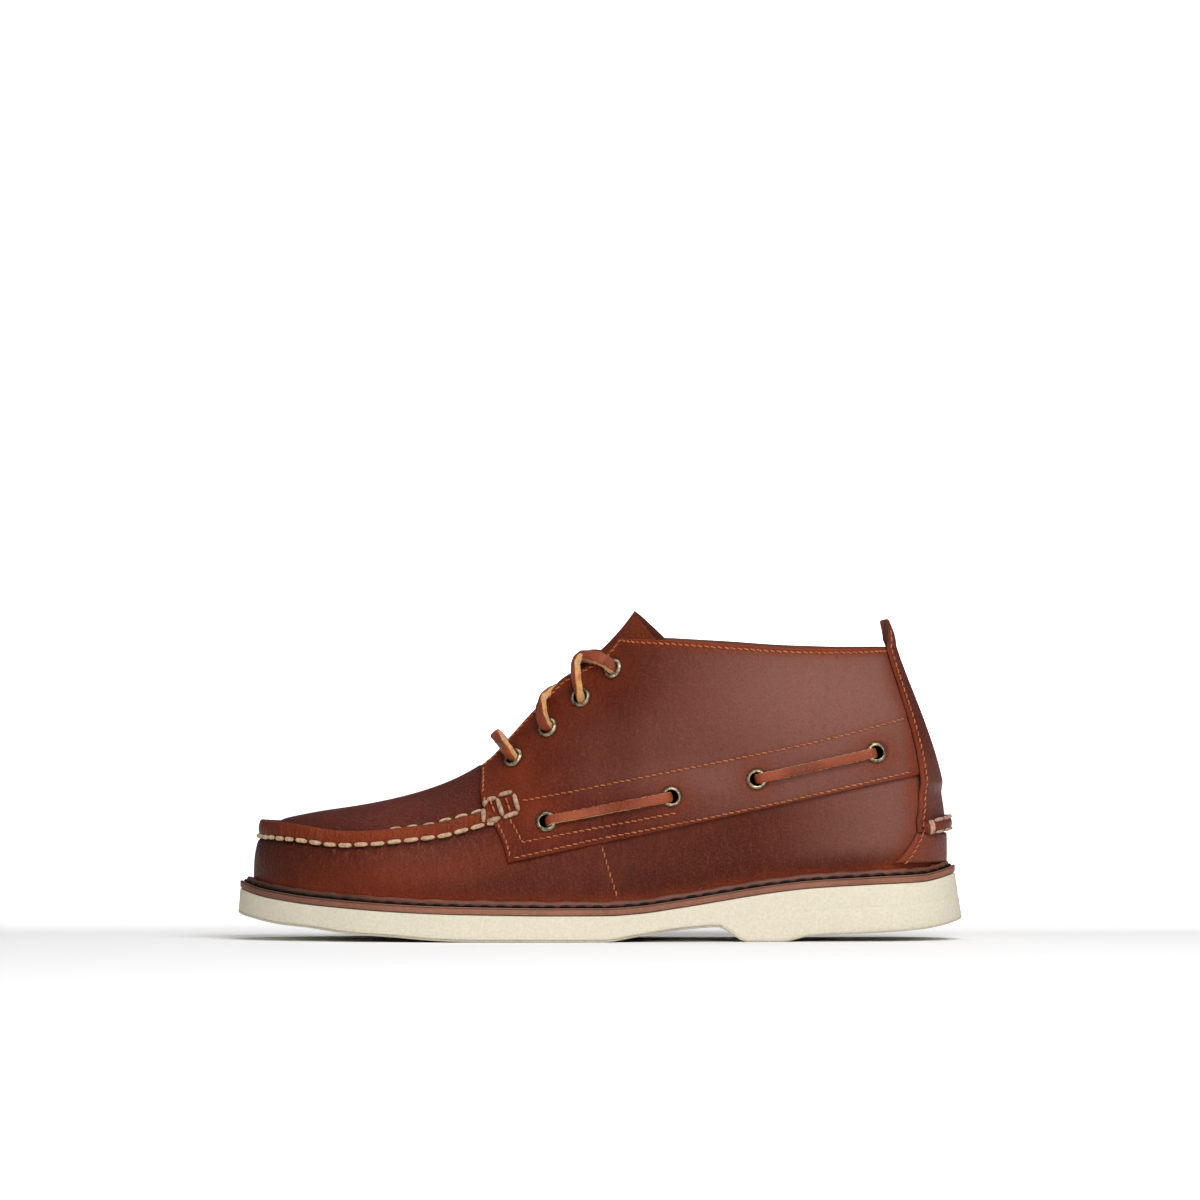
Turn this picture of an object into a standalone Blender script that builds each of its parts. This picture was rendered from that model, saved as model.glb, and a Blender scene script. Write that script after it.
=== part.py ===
"""Chukka boot with a moccasin toe, left foot: a Blender 4.5 model in metres, +Z up.

The toe points to -X and the outer (lateral) side faces -Y. The origin is on the floor, under the
middle of the sole. The upper, its panels and the tongue all come from one function, arch(), which
gives the shape of the last through the ribs of the table RIBS.
"""

import math

import bmesh
import bpy
from mathutils import Vector
from mathutils.bvhtree import BVHTree

MM = 0.001

# Driving sizes of the whole boot
LENGTH = 300 * MM
BALL_WIDTH = 108 * MM
SHAFT_HEIGHT = 121 * MM
HEEL_STACK = 24 * MM

# Clearance between pieces that touch in the real boot
GAP = 0.3 * MM

# Sole
MIDSOLE_THICK = 3.0 * MM
SOLE_BEVEL = 1.2 * MM
TOE_ROUND = 58 * MM
HEEL_ROUND = 38 * MM
TOE_FLARE = 0.8 * MM
HEEL_FLARE = 2.9 * MM
WELT_REACH = 5.6 * MM
BREAST_AT = (0.662, 0.7025, 0.750)
BEAD_WIDTH = 2.7 * MM
BEAD_HEIGHT = 2.7 * MM
INSOLE_THICK = 4.0 * MM
INSOLE_CLEAR = 1.0 * MM

# Upper
WALL = 1.6 * MM
PANEL_THICK = 1.3 * MM
PANEL_GAP = 0.55 * MM
LIP_THICK = 3.2 * MM
LIP_FADE = 0.4
PLUG_SINK = 1.4 * MM
THROAT_BOTTOM = 8 * MM
THROAT_TOP = 14 * MM
QUARTER_REAR_RIB = 0.25

# Heel pieces
STRIP_THICK = 1.6 * MM
STRIP_STEP = 6.5 * MM
STRIP_TOP_HALF = 10.5 * MM
STRIP_LOW_HALF = 23 * MM
COUNTER_LOW_HALF = 30 * MM
TAB_RISE = 11 * MM
TAB_LEAN = 3.2 * MM
ROLL_HIGH = 49.5 * MM
ROLL_WIDE = 8.0 * MM
ROLL_THICK = 3.2 * MM

# Tongue
TONGUE_THICK = 2.0 * MM
TONGUE_DROP = 4.0 * MM
TONGUE_LOW_DROP = 1.9 * MM
TONGUE_HALF = 30 * MM
TONGUE_RISE = 21.5 * MM
TONGUE_FLARE = 2.5 * MM
TONGUE_NARROW = 0.12

# Eyelets and laces
EYELET_HOLE = 2.75 * MM
EYELET_BARREL = 3.15 * MM
EYELET_FLANGE = 4.35 * MM
EYELET_DOME = 1.0 * MM
EYELET_SEAT = 0.45 * MM
EYELET_SIDES = 8
STRAP_EYELET_RISE = 13.4 * MM
HOLE_REACH = 8 * MM
LACE_WIDTH = 4.2 * MM
LACE_THICK = 1.7 * MM
LACE_LIFT = 2.8 * MM
LACE_REST = 1.6 * MM

LATERAL, MEDIAL = -1, 1
HALF_TURN = 180.0


class Table:
    """A table with named columns. Its first column is the place, and read() is smooth between rows."""

    def __init__(self, columns, rows):
        names = columns.split()
        self.places = [row[0] for row in rows]
        self.columns = {name: [row[i] for row in rows] for i, name in enumerate(names)}

    def read(self, column, at):
        xs, ys = self.places, self.columns[column]
        if at <= xs[0]:
            return ys[0]
        if at >= xs[-1]:
            return ys[-1]
        i = max(k for k in range(len(xs) - 1) if xs[k] <= at)
        width = xs[i + 1] - xs[i]
        share = (at - xs[i]) / width
        leave, arrive = self._slope(xs, ys, i) * width, self._slope(xs, ys, i + 1) * width
        square, cube = share * share, share**3
        return (
            (2 * cube - 3 * square + 1) * ys[i]
            + (cube - 2 * square + share) * leave
            + (3 * square - 2 * cube) * ys[i + 1]
            + (cube - square) * arrive
        )

    @staticmethod
    def _slope(xs, ys, i):
        """Slope at row i, level where the column turns, so that it never overshoots."""
        if i in (0, len(xs) - 1):
            j = min(i, len(xs) - 2)
            return (ys[j + 1] - ys[j]) / (xs[j + 1] - xs[j])
        before = (ys[i] - ys[i - 1]) / (xs[i] - xs[i - 1])
        after = (ys[i + 1] - ys[i]) / (xs[i + 1] - xs[i])
        if before * after <= 0:
            return 0.0
        return 2 * before * after / (before + after)


# The sole's outline from above. along: share of LENGTH from the toe tip. half and shift: half
# width and sideways shift towards the inner side, as shares of BALL_WIDTH.
PLAN = Table(
    "along half shift",
    [
        (0.00, 0.425, 0.070),
        (0.10, 0.435, 0.050),
        (0.20, 0.475, 0.022),
        (0.30, 0.500, 0.001),
        (0.40, 0.490, -0.014),
        (0.50, 0.448, -0.032),
        (0.60, 0.402, -0.040),
        (0.70, 0.370, -0.034),
        (0.80, 0.356, -0.018),
        (0.90, 0.352, -0.005),
        (1.00, 0.352, 0.000),
    ],
)

# The sole's lines from the side. along: share of LENGTH from the toe tip. tread and deck: heights
# of the outsole's underside and top, as shares of HEEL_STACK.
SOLE = Table(
    "along tread deck",
    [
        (0.000, 0.440, 0.890),
        (0.033, 0.340, 0.758),
        (0.063, 0.275, 0.692),
        (0.094, 0.240, 0.638),
        (0.154, 0.138, 0.571),
        (0.215, 0.085, 0.517),
        (0.276, 0.025, 0.483),
        (0.340, 0.000, 0.465),
        (0.440, 0.000, 0.450),
        (0.505, 0.000, 0.450),
        (0.550, 0.090, 0.483),
        (0.611, 0.208, 0.588),
        (0.662, 0.254, 0.690),
        (0.7025, 0.000, 0.775),
        (0.750, 0.000, 0.860),
        (0.793, 0.104, 0.917),
        (0.885, 0.154, 0.983),
        (0.945, 0.208, 1.017),
        (0.976, 0.275, 1.100),
        (1.000, 0.360, 1.200),
    ],
)

# The quarter's lower edge. along and high: shares of LENGTH and SHAFT_HEIGHT.
QUARTER_EDGE = Table("along high", [(0.379, 0.269), (0.950, 0.571)])

# The eyelets from the side. along and high: shares of LENGTH and SHAFT_HEIGHT. Those of the side
# laces stand STRAP_EYELET_RISE above the quarter's lower edge.
FACING_EYELETS = Table(
    "number along high",
    [
        (1, 0.3807, 0.6248),
        (2, 0.4266, 0.7262),
        (3, 0.4725, 0.8276),
        (4, 0.5184, 0.9290),
    ],
)
SIDE_EYELETS = Table("number along", [(1, 0.4263), (2, 0.5983), (3, 0.7157), (4, 0.8803)])

# The last, as ribs that rise from the sole's edge to the collar or the crown, from heel to toe.
# turn: where a rib starts on the outline, 0 at the heel tip and 180 at the toe tip.
# along, high, half: its top end, as shares of LENGTH, SHAFT_HEIGHT and BALL_WIDTH.
# leave, bulge, arrive: how far it rises, swells out and levels in, as shares of SHAFT_HEIGHT.
# tilt: how it arrives at the top, 0 upright and 90 level across; slope: that of the top line.
# seam, lip: height of the moccasin seam as a share of SHAFT_HEIGHT, and height of its lip in mm.
RIBS = Table(
    "rib turn along high half leave bulge arrive tilt slope seam lip",
    [
        (0, 0.0, 0.899, 1.000, 0.000, 0.330, 0.020, 0.205, 17.0, 0.0, 0.43, 0.0),
        (1, 20.0, 0.882, 1.000, 0.138, 0.320, 0.018, 0.205, 14.0, 0.0, 0.43, 0.0),
        (2, 38.0, 0.836, 0.999, 0.225, 0.300, 0.014, 0.220, 8.0, 0.0, 0.43, 0.0),
        (3, 55.0, 0.757, 1.004, 0.278, 0.285, 0.010, 0.250, 4.0, 0.0, 0.43, 0.0),
        (4, 70.0, 0.666, 1.019, 0.294, 0.285, 0.008, 0.265, 6.0, 0.0, 0.43, 0.0),
        (5, 80.5, 0.582, 1.029, 0.250, 0.300, 0.000, 0.250, 22.0, 4.0, 0.43, 0.0),
        (6, 85.0, 0.536, 1.028, 0.163, 0.315, 0.000, 0.200, 50.0, 12.0, 0.43, 0.0),
        (7, 88.5, 0.497, 1.043, 0.000, 0.330, 0.000, 0.140, 90.0, 42.0, 0.43, 0.0),
        (8, 94.0, 0.424, 0.874, 0.000, 0.300, 0.000, 0.155, 90.0, 46.0, 0.43, 4.0),
        (9, 102.0, 0.333, 0.596, 0.000, 0.250, 0.004, 0.165, 90.0, 30.0, 0.412, 6.0),
        (10, 116.0, 0.251, 0.506, 0.000, 0.205, 0.012, 0.200, 90.0, 16.0, 0.353, 6.6),
        (11, 135.0, 0.175, 0.462, 0.000, 0.180, 0.016, 0.245, 90.0, 9.0, 0.326, 6.6),
        (12, 155.0, 0.120, 0.441, 0.000, 0.165, 0.012, 0.220, 90.0, 9.0, 0.345, 7.0),
        (13, 180.0, 0.088, 0.426, 0.000, 0.165, 0.004, 0.142, 90.0, 9.0, 0.351, 7.2),
    ],
)
HEEL_RIB, COLLAR_FRONT_RIB, THROAT_TOP_RIB, THROAT_RIB, TOE_RIB = 0, 6, 7, 9, 13


def add_mesh(name, points, faces, look, smooth_angle=40):
    """A named object from points and faces, with its normals facing out."""
    mesh = bpy.data.meshes.new(name)
    work = bmesh.new()
    verts = [work.verts.new(point) for point in points]
    for face in faces:
        work.faces.new([verts[i] for i in face])
    bmesh.ops.recalc_face_normals(work, faces=work.faces)
    work.to_mesh(mesh)
    work.free()
    mesh.shade_smooth()
    mesh.set_sharp_from_angle(angle=math.radians(smooth_angle))
    obj = bpy.data.objects.new(name, mesh)
    bpy.context.scene.collection.objects.link(obj)
    if look:
        mesh.materials.append(look)
    return obj


def material(name, colour, roughness, metallic=0.0):
    look = bpy.data.materials.new(name)
    look.use_nodes = True
    shader = look.node_tree.nodes["Principled BSDF"]
    shader.inputs["Base Color"].default_value = (*colour, 1)
    shader.inputs["Roughness"].default_value = roughness
    shader.inputs["Metallic"].default_value = metallic
    return look


# Plan and side lines of the sole


def closing(distance, radius):
    """1 away from an end of the outline, falling to 0 at the end as a circle does."""
    if distance >= radius:
        return 1.0
    return math.sqrt(max(0.0, 1 - ((radius - distance) / radius) ** 2))


def along_of(x):
    return 0.5 + x / LENGTH


def edge(angle):
    """The sole's widest outline. angle runs 0 to 360 from the heel by the outer side and the toe."""
    angle = angle % 360
    side = LATERAL if angle <= HALF_TURN else MEDIAL
    x = LENGTH / 2 * math.cos(math.radians(angle))
    along = along_of(x)
    round_off = closing(LENGTH * along, TOE_ROUND) * closing(LENGTH * (1 - along), HEEL_ROUND)
    half = BALL_WIDTH * PLAN.read("half", along) * round_off
    return Vector((x, BALL_WIDTH * PLAN.read("shift", along) + side * half))


def outline(angle, inset):
    """The outline moved in by inset."""
    ahead, behind = edge(angle + 1), edge(angle - 1)
    run = (ahead - behind).normalized()
    outward = Vector((-run.y, run.x))
    return edge(angle) - outward * inset, outward


def flare(angle):
    """How far the deck's edge lies inside the tread's edge."""
    rear = (1 + math.cos(math.radians(angle))) / 2
    return TOE_FLARE + (HEEL_FLARE - TOE_FLARE) * rear**3


def sole_height(column, x):
    return HEEL_STACK * SOLE.read(column, along_of(x))


def welt_height(x):
    """Top of the midsole, on which the upper and the bead stand."""
    return sole_height("deck", x) + GAP + MIDSOLE_THICK


def feather_inset(angle):
    return flare(angle) + WELT_REACH


def sole_angles():
    """Stations round the outline, in pairs, with the heel's front edges among them."""
    marks = spaced(0, HALF_TURN, 28)
    for place in BREAST_AT:
        marks.append(math.degrees(math.acos(2 * (place - 0.5))))
    marks = sorted(marks)
    kept = [m for i, m in enumerate(marks) if i == 0 or m - marks[i - 1] > 0.5]
    return kept + [360 - m for m in reversed(kept[1:-1])]


def ring_stack(name, rings, look):
    """A closed plate: rings of paired stations from the bottom to the top, capped by cross strips."""
    count = len(rings[0])
    points = [point for ring in rings for point in ring]
    faces = []
    for level in range(len(rings) - 1):
        for i in range(count):
            j = (i + 1) % count
            low, high = level * count, (level + 1) * count
            faces.append((low + i, low + j, high + j, high + i))
    half = count // 2
    for start in (0, (len(rings) - 1) * count):
        faces.append((start, start + 1, start + count - 1))
        for i in range(1, half - 1):
            faces.append((start + i, start + i + 1, start + count - i - 1, start + count - i))
        faces.append((start + half - 1, start + half, start + half + 1))
    return add_mesh(name, points, faces, look, 30)


def plate_ring(inset_of, height_of):
    ring = []
    for angle in sole_angles():
        spot, _ = outline(angle, inset_of(angle))
        ring.append((spot.x, spot.y, height_of(spot.x)))
    return ring


def build_outsole(look):
    rings = [
        plate_ring(lambda a: SOLE_BEVEL, lambda x: sole_height("tread", x)),
        plate_ring(lambda a: 0.0, lambda x: sole_height("tread", x) + SOLE_BEVEL),
        plate_ring(flare, lambda x: sole_height("deck", x)),
    ]
    return ring_stack("outsole", rings, look)


def build_midsole(look):
    rings = [
        plate_ring(flare, lambda x: sole_height("deck", x) + GAP),
        plate_ring(flare, lambda x: welt_height(x) - SOLE_BEVEL / 2),
        plate_ring(lambda a: flare(a) + SOLE_BEVEL / 2, welt_height),
    ]
    return ring_stack("midsole", rings, look)


def build_insole(look):
    def inset(angle):
        return feather_inset(angle) + WALL + INSOLE_CLEAR

    rings = [
        plate_ring(inset, lambda x: welt_height(x) + GAP),
        plate_ring(inset, lambda x: welt_height(x) + GAP + INSOLE_THICK),
    ]
    return ring_stack("insole", rings, look)


def build_welt(look):
    """The storm welt's bead, a rounded strip round the foot of the upper."""
    profile = [
        (GAP, GAP),
        (BEAD_WIDTH, GAP),
        (BEAD_WIDTH * 0.8, BEAD_HEIGHT),
        (2.6 * GAP, BEAD_HEIGHT * 0.95),
    ]
    angles = sole_angles()
    points = []
    for angle in angles:
        for out, up in profile:
            spot, _ = outline(angle, feather_inset(angle) - out)
            points.append((spot.x, spot.y, welt_height(spot.x) + up))
    return add_mesh("welt", points, loop_faces(len(angles), len(profile)), look)


def loop_faces(rings, sides):
    """Faces of a closed tube whose last ring meets its first."""
    faces = []
    for i in range(rings):
        for j in range(sides):
            a, b = i * sides, ((i + 1) % rings) * sides
            k = (j + 1) % sides
            faces.append((a + j, b + j, b + k, a + k))
    return faces


# The last


def rib(u, side):
    """The four control points of rib u on one side."""
    turn = RIBS.read("turn", u)
    angle = turn if side == LATERAL else 360 - turn
    foot, outward = outline(angle, feather_inset(angle))
    base = Vector((foot.x, foot.y, welt_height(foot.x) + GAP))
    x = LENGTH * (RIBS.read("along", u) - 0.5)
    axis = BALL_WIDTH * PLAN.read("shift", along_of(x))
    half = BALL_WIDTH * RIBS.read("half", u)
    top = Vector((x, axis + side * half, SHAFT_HEIGHT * RIBS.read("high", u)))
    slope = math.radians(RIBS.read("slope", u))
    tilt = math.radians(RIBS.read("tilt", u))
    inward = Vector((-outward.x, -outward.y, -outward.x * math.tan(slope)))
    up = Vector((-math.sin(slope), 0, math.cos(slope)))
    arriving = up * math.cos(tilt) + inward * math.sin(tilt)
    leave = Vector((outward.x, outward.y, 0)) * RIBS.read("bulge", u)
    leave += Vector((0, 0, RIBS.read("leave", u)))
    return (
        base,
        base + leave * SHAFT_HEIGHT,
        top - arriving * RIBS.read("arrive", u) * SHAFT_HEIGHT,
        top,
    )


def arch(u, t, side):
    """Point of the last: u along the ribs, t from the sole's edge up to the collar or crown."""
    a, b, c, d = rib(u, side)
    s = 1 - t
    return a * s**3 + b * (3 * s * s * t) + c * (3 * s * t * t) + d * t**3


def skin(u, t, side, offset):
    """The last's surface moved outward by offset."""
    du, dt = 0.03, 0.01
    along = arch(min(u + du, TOE_RIB), t, side) - arch(max(u - du, 0), t, side)
    rising = arch(u, min(t + dt, 1), side) - arch(u, max(t - dt, 0), side)
    return arch(u, t, side) + along.cross(rising).normalized() * side * offset


def solve(low, high, test):
    """The place between low and high where test turns false, by halving."""
    for _ in range(28):
        middle = (low + high) / 2
        if test(middle):
            low = middle
        else:
            high = middle
    return (low + high) / 2


def axis_distance(u, t, side):
    point = arch(u, t, side)
    return (point.y - BALL_WIDTH * PLAN.read("shift", along_of(point.x))) * side


def throat_half(high):
    """Half of the gap between the facings at a height."""
    bottom, top = SHAFT_HEIGHT * RIBS.read("high", THROAT_RIB), SHAFT_HEIGHT
    share = max(0.0, min(1.0, (high - bottom) / (top - bottom)))
    return THROAT_BOTTOM + (THROAT_TOP - THROAT_BOTTOM) * share


def cut(u, side):
    """How far up rib u the opening starts: 1 at the collar, less beside the throat."""

    def outside(t):
        return axis_distance(u, t, side) > throat_half(arch(u, t, side).z)

    if u < COLLAR_FRONT_RIB - 1 or outside(1.0):
        return 1.0
    return solve(0.3, 1.0, outside)


def quarter_low(x):
    """Height of the quarter's lower edge."""
    return SHAFT_HEIGHT * QUARTER_EDGE.read("high", along_of(x))


def quarter_foot(u, side):
    return solve(0.0, 0.9, lambda t: arch(u, t, side).z < quarter_low(arch(u, t, side).x))


def spaced(start, end, count):
    return [start + (end - start) * i / count for i in range(count + 1)]


# The upper: one hollow wall with the moccasin seam's lip raised out of it

REAR_RIBS = spaced(HEEL_RIB, THROAT_RIB, 22)
WALL_ROWS, PLUG_ROWS = 4, 4
ROWS = WALL_ROWS + 3 + PLUG_ROWS


def seam_rows(u, side):
    """Outer and inner points of a rib in front of the throat, where the lip stands up."""
    lip = RIBS.read("lip", u) * MM * min(1.0, (u - THROAT_RIB) / LIP_FADE)
    high = SHAFT_HEIGHT * RIBS.read("seam", u)
    seam = solve(0.05, 0.9, lambda t: arch(u, t, side).z < high)
    at_seam = arch(u, seam, side)
    reach = LIP_THICK + PLUG_SINK
    foot = solve(seam, 0.98, lambda t: (arch(u, t, side) - at_seam).length < reach)
    wall_run = (at_seam - arch(u, seam - 0.12, side)).normalized()
    across = (arch(u, foot, side) - at_seam)
    across.z = 0
    across.normalize()
    share = min(1.0, lip / LIP_THICK)
    outer = [arch(u, t, side) for t in spaced(0, seam, WALL_ROWS)]
    outer.append(at_seam + wall_run * lip * 0.9 + across * lip * 0.05)
    outer.append(at_seam + wall_run * lip + across * LIP_THICK)
    lows = [0, *spaced(foot, 1, PLUG_ROWS)]
    for t in lows[1:]:
        fade = max(0.0, 1 - (t - foot) / (1 - foot) * 1.6)
        sunk = skin(u, min(t, 0.995), side, -PLUG_SINK * share * fade)
        outer.append(sunk if t < 1 else arch(u, 1, side))
    inner_t = spaced(0, seam, WALL_ROWS) + [seam + (foot - seam) * s for s in (0.35, 0.7)]
    inner_t += spaced(foot, 1, PLUG_ROWS)
    inner = []
    for t in inner_t:
        fade = max(0.0, 1 - (t - foot) / (1 - foot) * 1.6) if t >= foot else 1.0
        sink = PLUG_SINK * share * fade if t > seam else 0.0
        inner.append((t, sink))
    return outer, inner


def build_upper(look):
    ribs = REAR_RIBS + spaced(THROAT_RIB, TOE_RIB, 11)[1:]
    columns = [(u, LATERAL) for u in ribs] + [(u, MEDIAL) for u in reversed(ribs[1:-1])]
    outer, inner = [], []
    for u, side in columns:
        if u > THROAT_RIB + 0.01:
            points, levels = seam_rows(u, side)
        else:
            levels = [(t, 0.0) for t in spaced(0, cut(u, side) if u < THROAT_RIB else 1.0, ROWS)]
            points = [arch(u, t, side) for t, _ in levels]
        outer.append(points)
        inner.append([skin(u, min(t, 0.999), side, -WALL - sink) for t, sink in levels])
    closed = [u > THROAT_RIB - 0.01 for u, _ in columns]
    twin = {c: len(columns) - c for c in range(len(ribs), len(columns)) if closed[c]}
    for layer in (outer, inner):
        for c, partner in twin.items():
            layer[partner][ROWS] = (layer[c][ROWS] + layer[partner][ROWS]) / 2
    return wall_mesh("upper", (outer, inner), closed, twin, look)


def wall_mesh(name, layers, closed, twin, look):
    """A closed wall from two grids of columns. A closed column ends at its twin's top point."""
    count, rows = len(closed), len(layers[0][0])
    points, number = [], {}
    for layer, grid in enumerate(layers):
        for c in range(count):
            for r in range(rows):
                if r < rows - 1 or c not in twin:
                    number[layer, c, r] = len(points)
                    points.append(grid[c][r])
        for c, partner in twin.items():
            number[layer, c, rows - 1] = number[layer, partner, rows - 1]
    faces = []
    for c in range(count):
        d = (c + 1) % count
        rims = [0] if closed[c] and closed[d] else [0, rows - 1]
        for layer in (0, 1):
            for r in range(rows - 1):
                ends = ((layer, c, r), (layer, d, r), (layer, d, r + 1), (layer, c, r + 1))
                faces.append([number[end] for end in ends])
        for r in rims:
            ends = ((0, c, r), (0, d, r), (1, d, r), (1, c, r))
            faces.append([number[end] for end in ends])
    return add_mesh(name, points, faces, look, 50)


# Panels laid on the upper


def panel(name, grid, look):
    """A closed sheet from a grid of (outer point, inner point) pairs."""
    rows, columns = len(grid), len(grid[0])
    points = [pair[0] for row in grid for pair in row]
    points += [pair[1] for row in grid for pair in row]
    half = rows * columns

    def at(r, c, layer):
        return layer * half + r * columns + c

    faces = []
    for layer in (0, 1):
        for r in range(rows - 1):
            for c in range(columns - 1):
                faces.append(
                    (at(r, c, layer), at(r, c + 1, layer), at(r + 1, c + 1, layer), at(r + 1, c, layer))
                )
    for r in range(rows - 1):
        for c in (0, columns - 1):
            faces.append((at(r, c, 0), at(r + 1, c, 0), at(r + 1, c, 1), at(r, c, 1)))
    for c in range(columns - 1):
        for r in (0, rows - 1):
            faces.append((at(r, c, 0), at(r, c + 1, 0), at(r, c + 1, 1), at(r, c, 1)))
    return add_mesh(name, points, faces, look)


def build_quarter(name, side, look):
    """The quarter with its facing, from the throat back to the heel, under the back strip."""
    grid = []
    for u in [QUARTER_REAR_RIB, *REAR_RIBS[1:]]:
        foot, top = quarter_foot(u, side), min(cut(u, side), 0.999)
        levels = spaced(foot, top, 7)
        grid.append(
            [(skin(u, t, side, PANEL_GAP + PANEL_THICK), skin(u, t, side, PANEL_GAP)) for t in levels]
        )
    return panel(name, grid, look)


def heel_place(high, half, side):
    """The rib and level on the heel at a height and a distance from its middle."""
    u, t = 0.0, 0.5
    for _ in range(4):
        t = solve(0.0, 1.0, lambda t: arch(u, t, side).z < high)
        u = solve(0.0, 4.0, lambda u: axis_distance(u, t, side) < half)
    return u, t


def bead_top(x):
    return welt_height(x) + BEAD_HEIGHT + 3 * GAP


def heel_panel(name, low, high, rows, half_of, offset_of, look, tab=False, follow_bead=False):
    """A panel across the back of the heel. offset_of gives its inner face's height on the upper."""
    thick = STRIP_THICK
    shares = (-1, -0.85, -0.69, -0.51, -0.31, -0.11, 0.11, 0.31, 0.51, 0.69, 0.85, 1)
    grid = []
    for level in spaced(0, 1, rows):
        row = []
        for share in shares:
            side = LATERAL if share < 0 else MEDIAL
            z = low + (high - low) * level
            u, t = heel_place(z, abs(share) * half_of(z), side)
            if follow_bead:
                foot = bead_top(arch(u, t, side).x)
                z = foot + (high - foot) * level
                u, t = heel_place(z, abs(share) * half_of(z), side)
            t, base = min(t, 0.998), offset_of(z)
            row.append((skin(u, t, side, base + thick), skin(u, t, side, base)))
        grid.append(row)
    if tab:
        for rise, lean, fold in ((0.25, 0.1, 1.2), (1, 1, 1.1)):
            step = Vector((-TAB_LEAN * lean, 0, TAB_RISE * rise))
            fold_in = Vector((-PANEL_THICK * fold, 0, 0))
            top = grid[rows]
            grid.append([(out + step, inside + step + fold_in) for out, inside in top])
    return panel(name, grid, look)


def strip_half(z):
    share = (z - ROLL_HIGH) / (SHAFT_HEIGHT - ROLL_HIGH)
    return STRIP_LOW_HALF + (STRIP_TOP_HALF - STRIP_LOW_HALF) * share**0.8 if share > 0 else STRIP_LOW_HALF


def strip_base(z):
    """The back strip lies on the quarters, and below them on the upper."""
    if z < SHAFT_HEIGHT * QUARTER_EDGE.read("high", 1) - STRIP_STEP:
        return PANEL_GAP
    return 2 * PANEL_GAP + PANEL_THICK


def counter_base(z):
    return 2 * PANEL_GAP


def counter_half(z):
    top = ROLL_HIGH - ROLL_WIDE / 2
    share = (top - z) / (top - HEEL_STACK - MIDSOLE_THICK)
    return STRIP_LOW_HALF + (COUNTER_LOW_HALF - STRIP_LOW_HALF) * share


def build_roll(look):
    """The padded roll across the heel, a cushion between the back strip and the counter."""
    profile = ((-0.5, 0.0), (-0.42, 0.72), (-0.16, 1.0), (0.16, 1.0), (0.42, 0.72), (0.5, 0.0))
    shares = (-1, -0.8, -0.5, -0.17, 0.17, 0.5, 0.8, 1)
    rings = []
    for share in shares:
        side = LATERAL if share < 0 else MEDIAL
        ring = []
        for up, out in profile:
            z = ROLL_HIGH + up * ROLL_WIDE
            u, t = heel_place(z, abs(share) * STRIP_LOW_HALF * 1.03, side)
            end = 0.65 if abs(share) == 1 else 1
            ring.append(skin(u, t, side, PANEL_GAP + ROLL_THICK * out * end))
        rings.append(ring)
    return tube("heel_roll", rings, look)


def tube(name, rings, look):
    """A closed bar through rings of points, with flat ends."""
    sides = len(rings[0])
    faces = [tuple(range(sides)), tuple(range((len(rings) - 1) * sides, len(rings) * sides))]
    for i in range(len(rings) - 1):
        for j in range(sides):
            k = (j + 1) % sides
            faces.append((i * sides + j, (i + 1) * sides + j, (i + 1) * sides + k, i * sides + k))
    return add_mesh(name, [point for ring in rings for point in ring], faces, look)


# The tongue


def build_tongue(look):
    """A half pipe under the throat, going on straight above the top of the instep."""
    shares = (-1, -0.8, -0.6, -0.4, -0.2, 0, 0.2, 0.4, 0.6, 0.8, 1)
    grid = []
    for u in (THROAT_RIB + 0.6, THROAT_RIB + 0.3, THROAT_RIB, 8.6, 8.2, 7.8, 7.4, THROAT_TOP_RIB):
        drop = TONGUE_DROP if u < THROAT_RIB else TONGUE_LOW_DROP
        row = []
        for share in shares:
            side = LATERAL if share < 0 else MEDIAL
            half = TONGUE_HALF * abs(share)
            t = solve(0.2, 1.0, lambda t: axis_distance(u, t, side) > half)
            depth = WALL + drop
            t = min(t, 0.999)
            row.append((skin(u, t, side, -depth), skin(u, t, side, -depth - TONGUE_THICK)))
        grid.append(row)
    run = (arch(THROAT_TOP_RIB, 1, LATERAL) - arch(8, 1, LATERAL)).normalized()
    top = grid[-1]
    crown, out = top[len(shares) // 2][0], Vector((-run.z, 0, run.x))
    for share in (0.35, 0.7, 1):
        row = []
        for pair in top:
            slide = TONGUE_RISE * share - (pair[0] - crown).dot(run) * share
            inward = Vector((0, (crown.y - pair[0].y) * TONGUE_NARROW * share, 0))
            step = run * slide + out * TONGUE_FLARE * share**2 + inward
            row.append(tuple(point + step for point in pair))
        grid.append(row)
    return panel("tongue", grid, look)


# Eyelets and laces


def surface(objects):
    """A ray target made of several meshes."""
    points, faces = [], []
    for obj in objects:
        first = len(points)
        points += [v.co.copy() for v in obj.data.vertices]
        faces += [[first + i for i in f.vertices] for f in obj.data.polygons]
    return BVHTree.FromPolygons(points, faces)


def side_hit(target, x, z, side):
    """Where the upper's outside is met at a place of the side view, and its outward normal."""
    hits = []
    for dx, dz in ((0, 0), (1, 0), (-1, 0), (0, 1), (0, -1)):
        start = Vector((x + dx * EYELET_BARREL, side * BALL_WIDTH, z + dz * EYELET_BARREL * 0.8))
        spot, normal, _, _ = target.ray_cast(start, Vector((0, -side, 0)))
        if spot is not None:
            hits.append((spot, normal if normal.y * side > 0 else -normal))
    normal = sum((hit[1] for hit in hits), Vector()).normalized()
    spot = hits[0][0]
    return spot + normal * max((hit[0] - spot).dot(normal) for hit in hits), normal


def frame_on(normal):
    across = normal.cross(Vector((0, 0, 1))).normalized()
    return across, across.cross(normal)


def circle(centre, normal, radius, count):
    a, b = frame_on(normal)
    turns = [2 * math.pi * i / count for i in range(count)]
    return [centre + (a * math.cos(turn) + b * math.sin(turn)) * radius for turn in turns]


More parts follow.
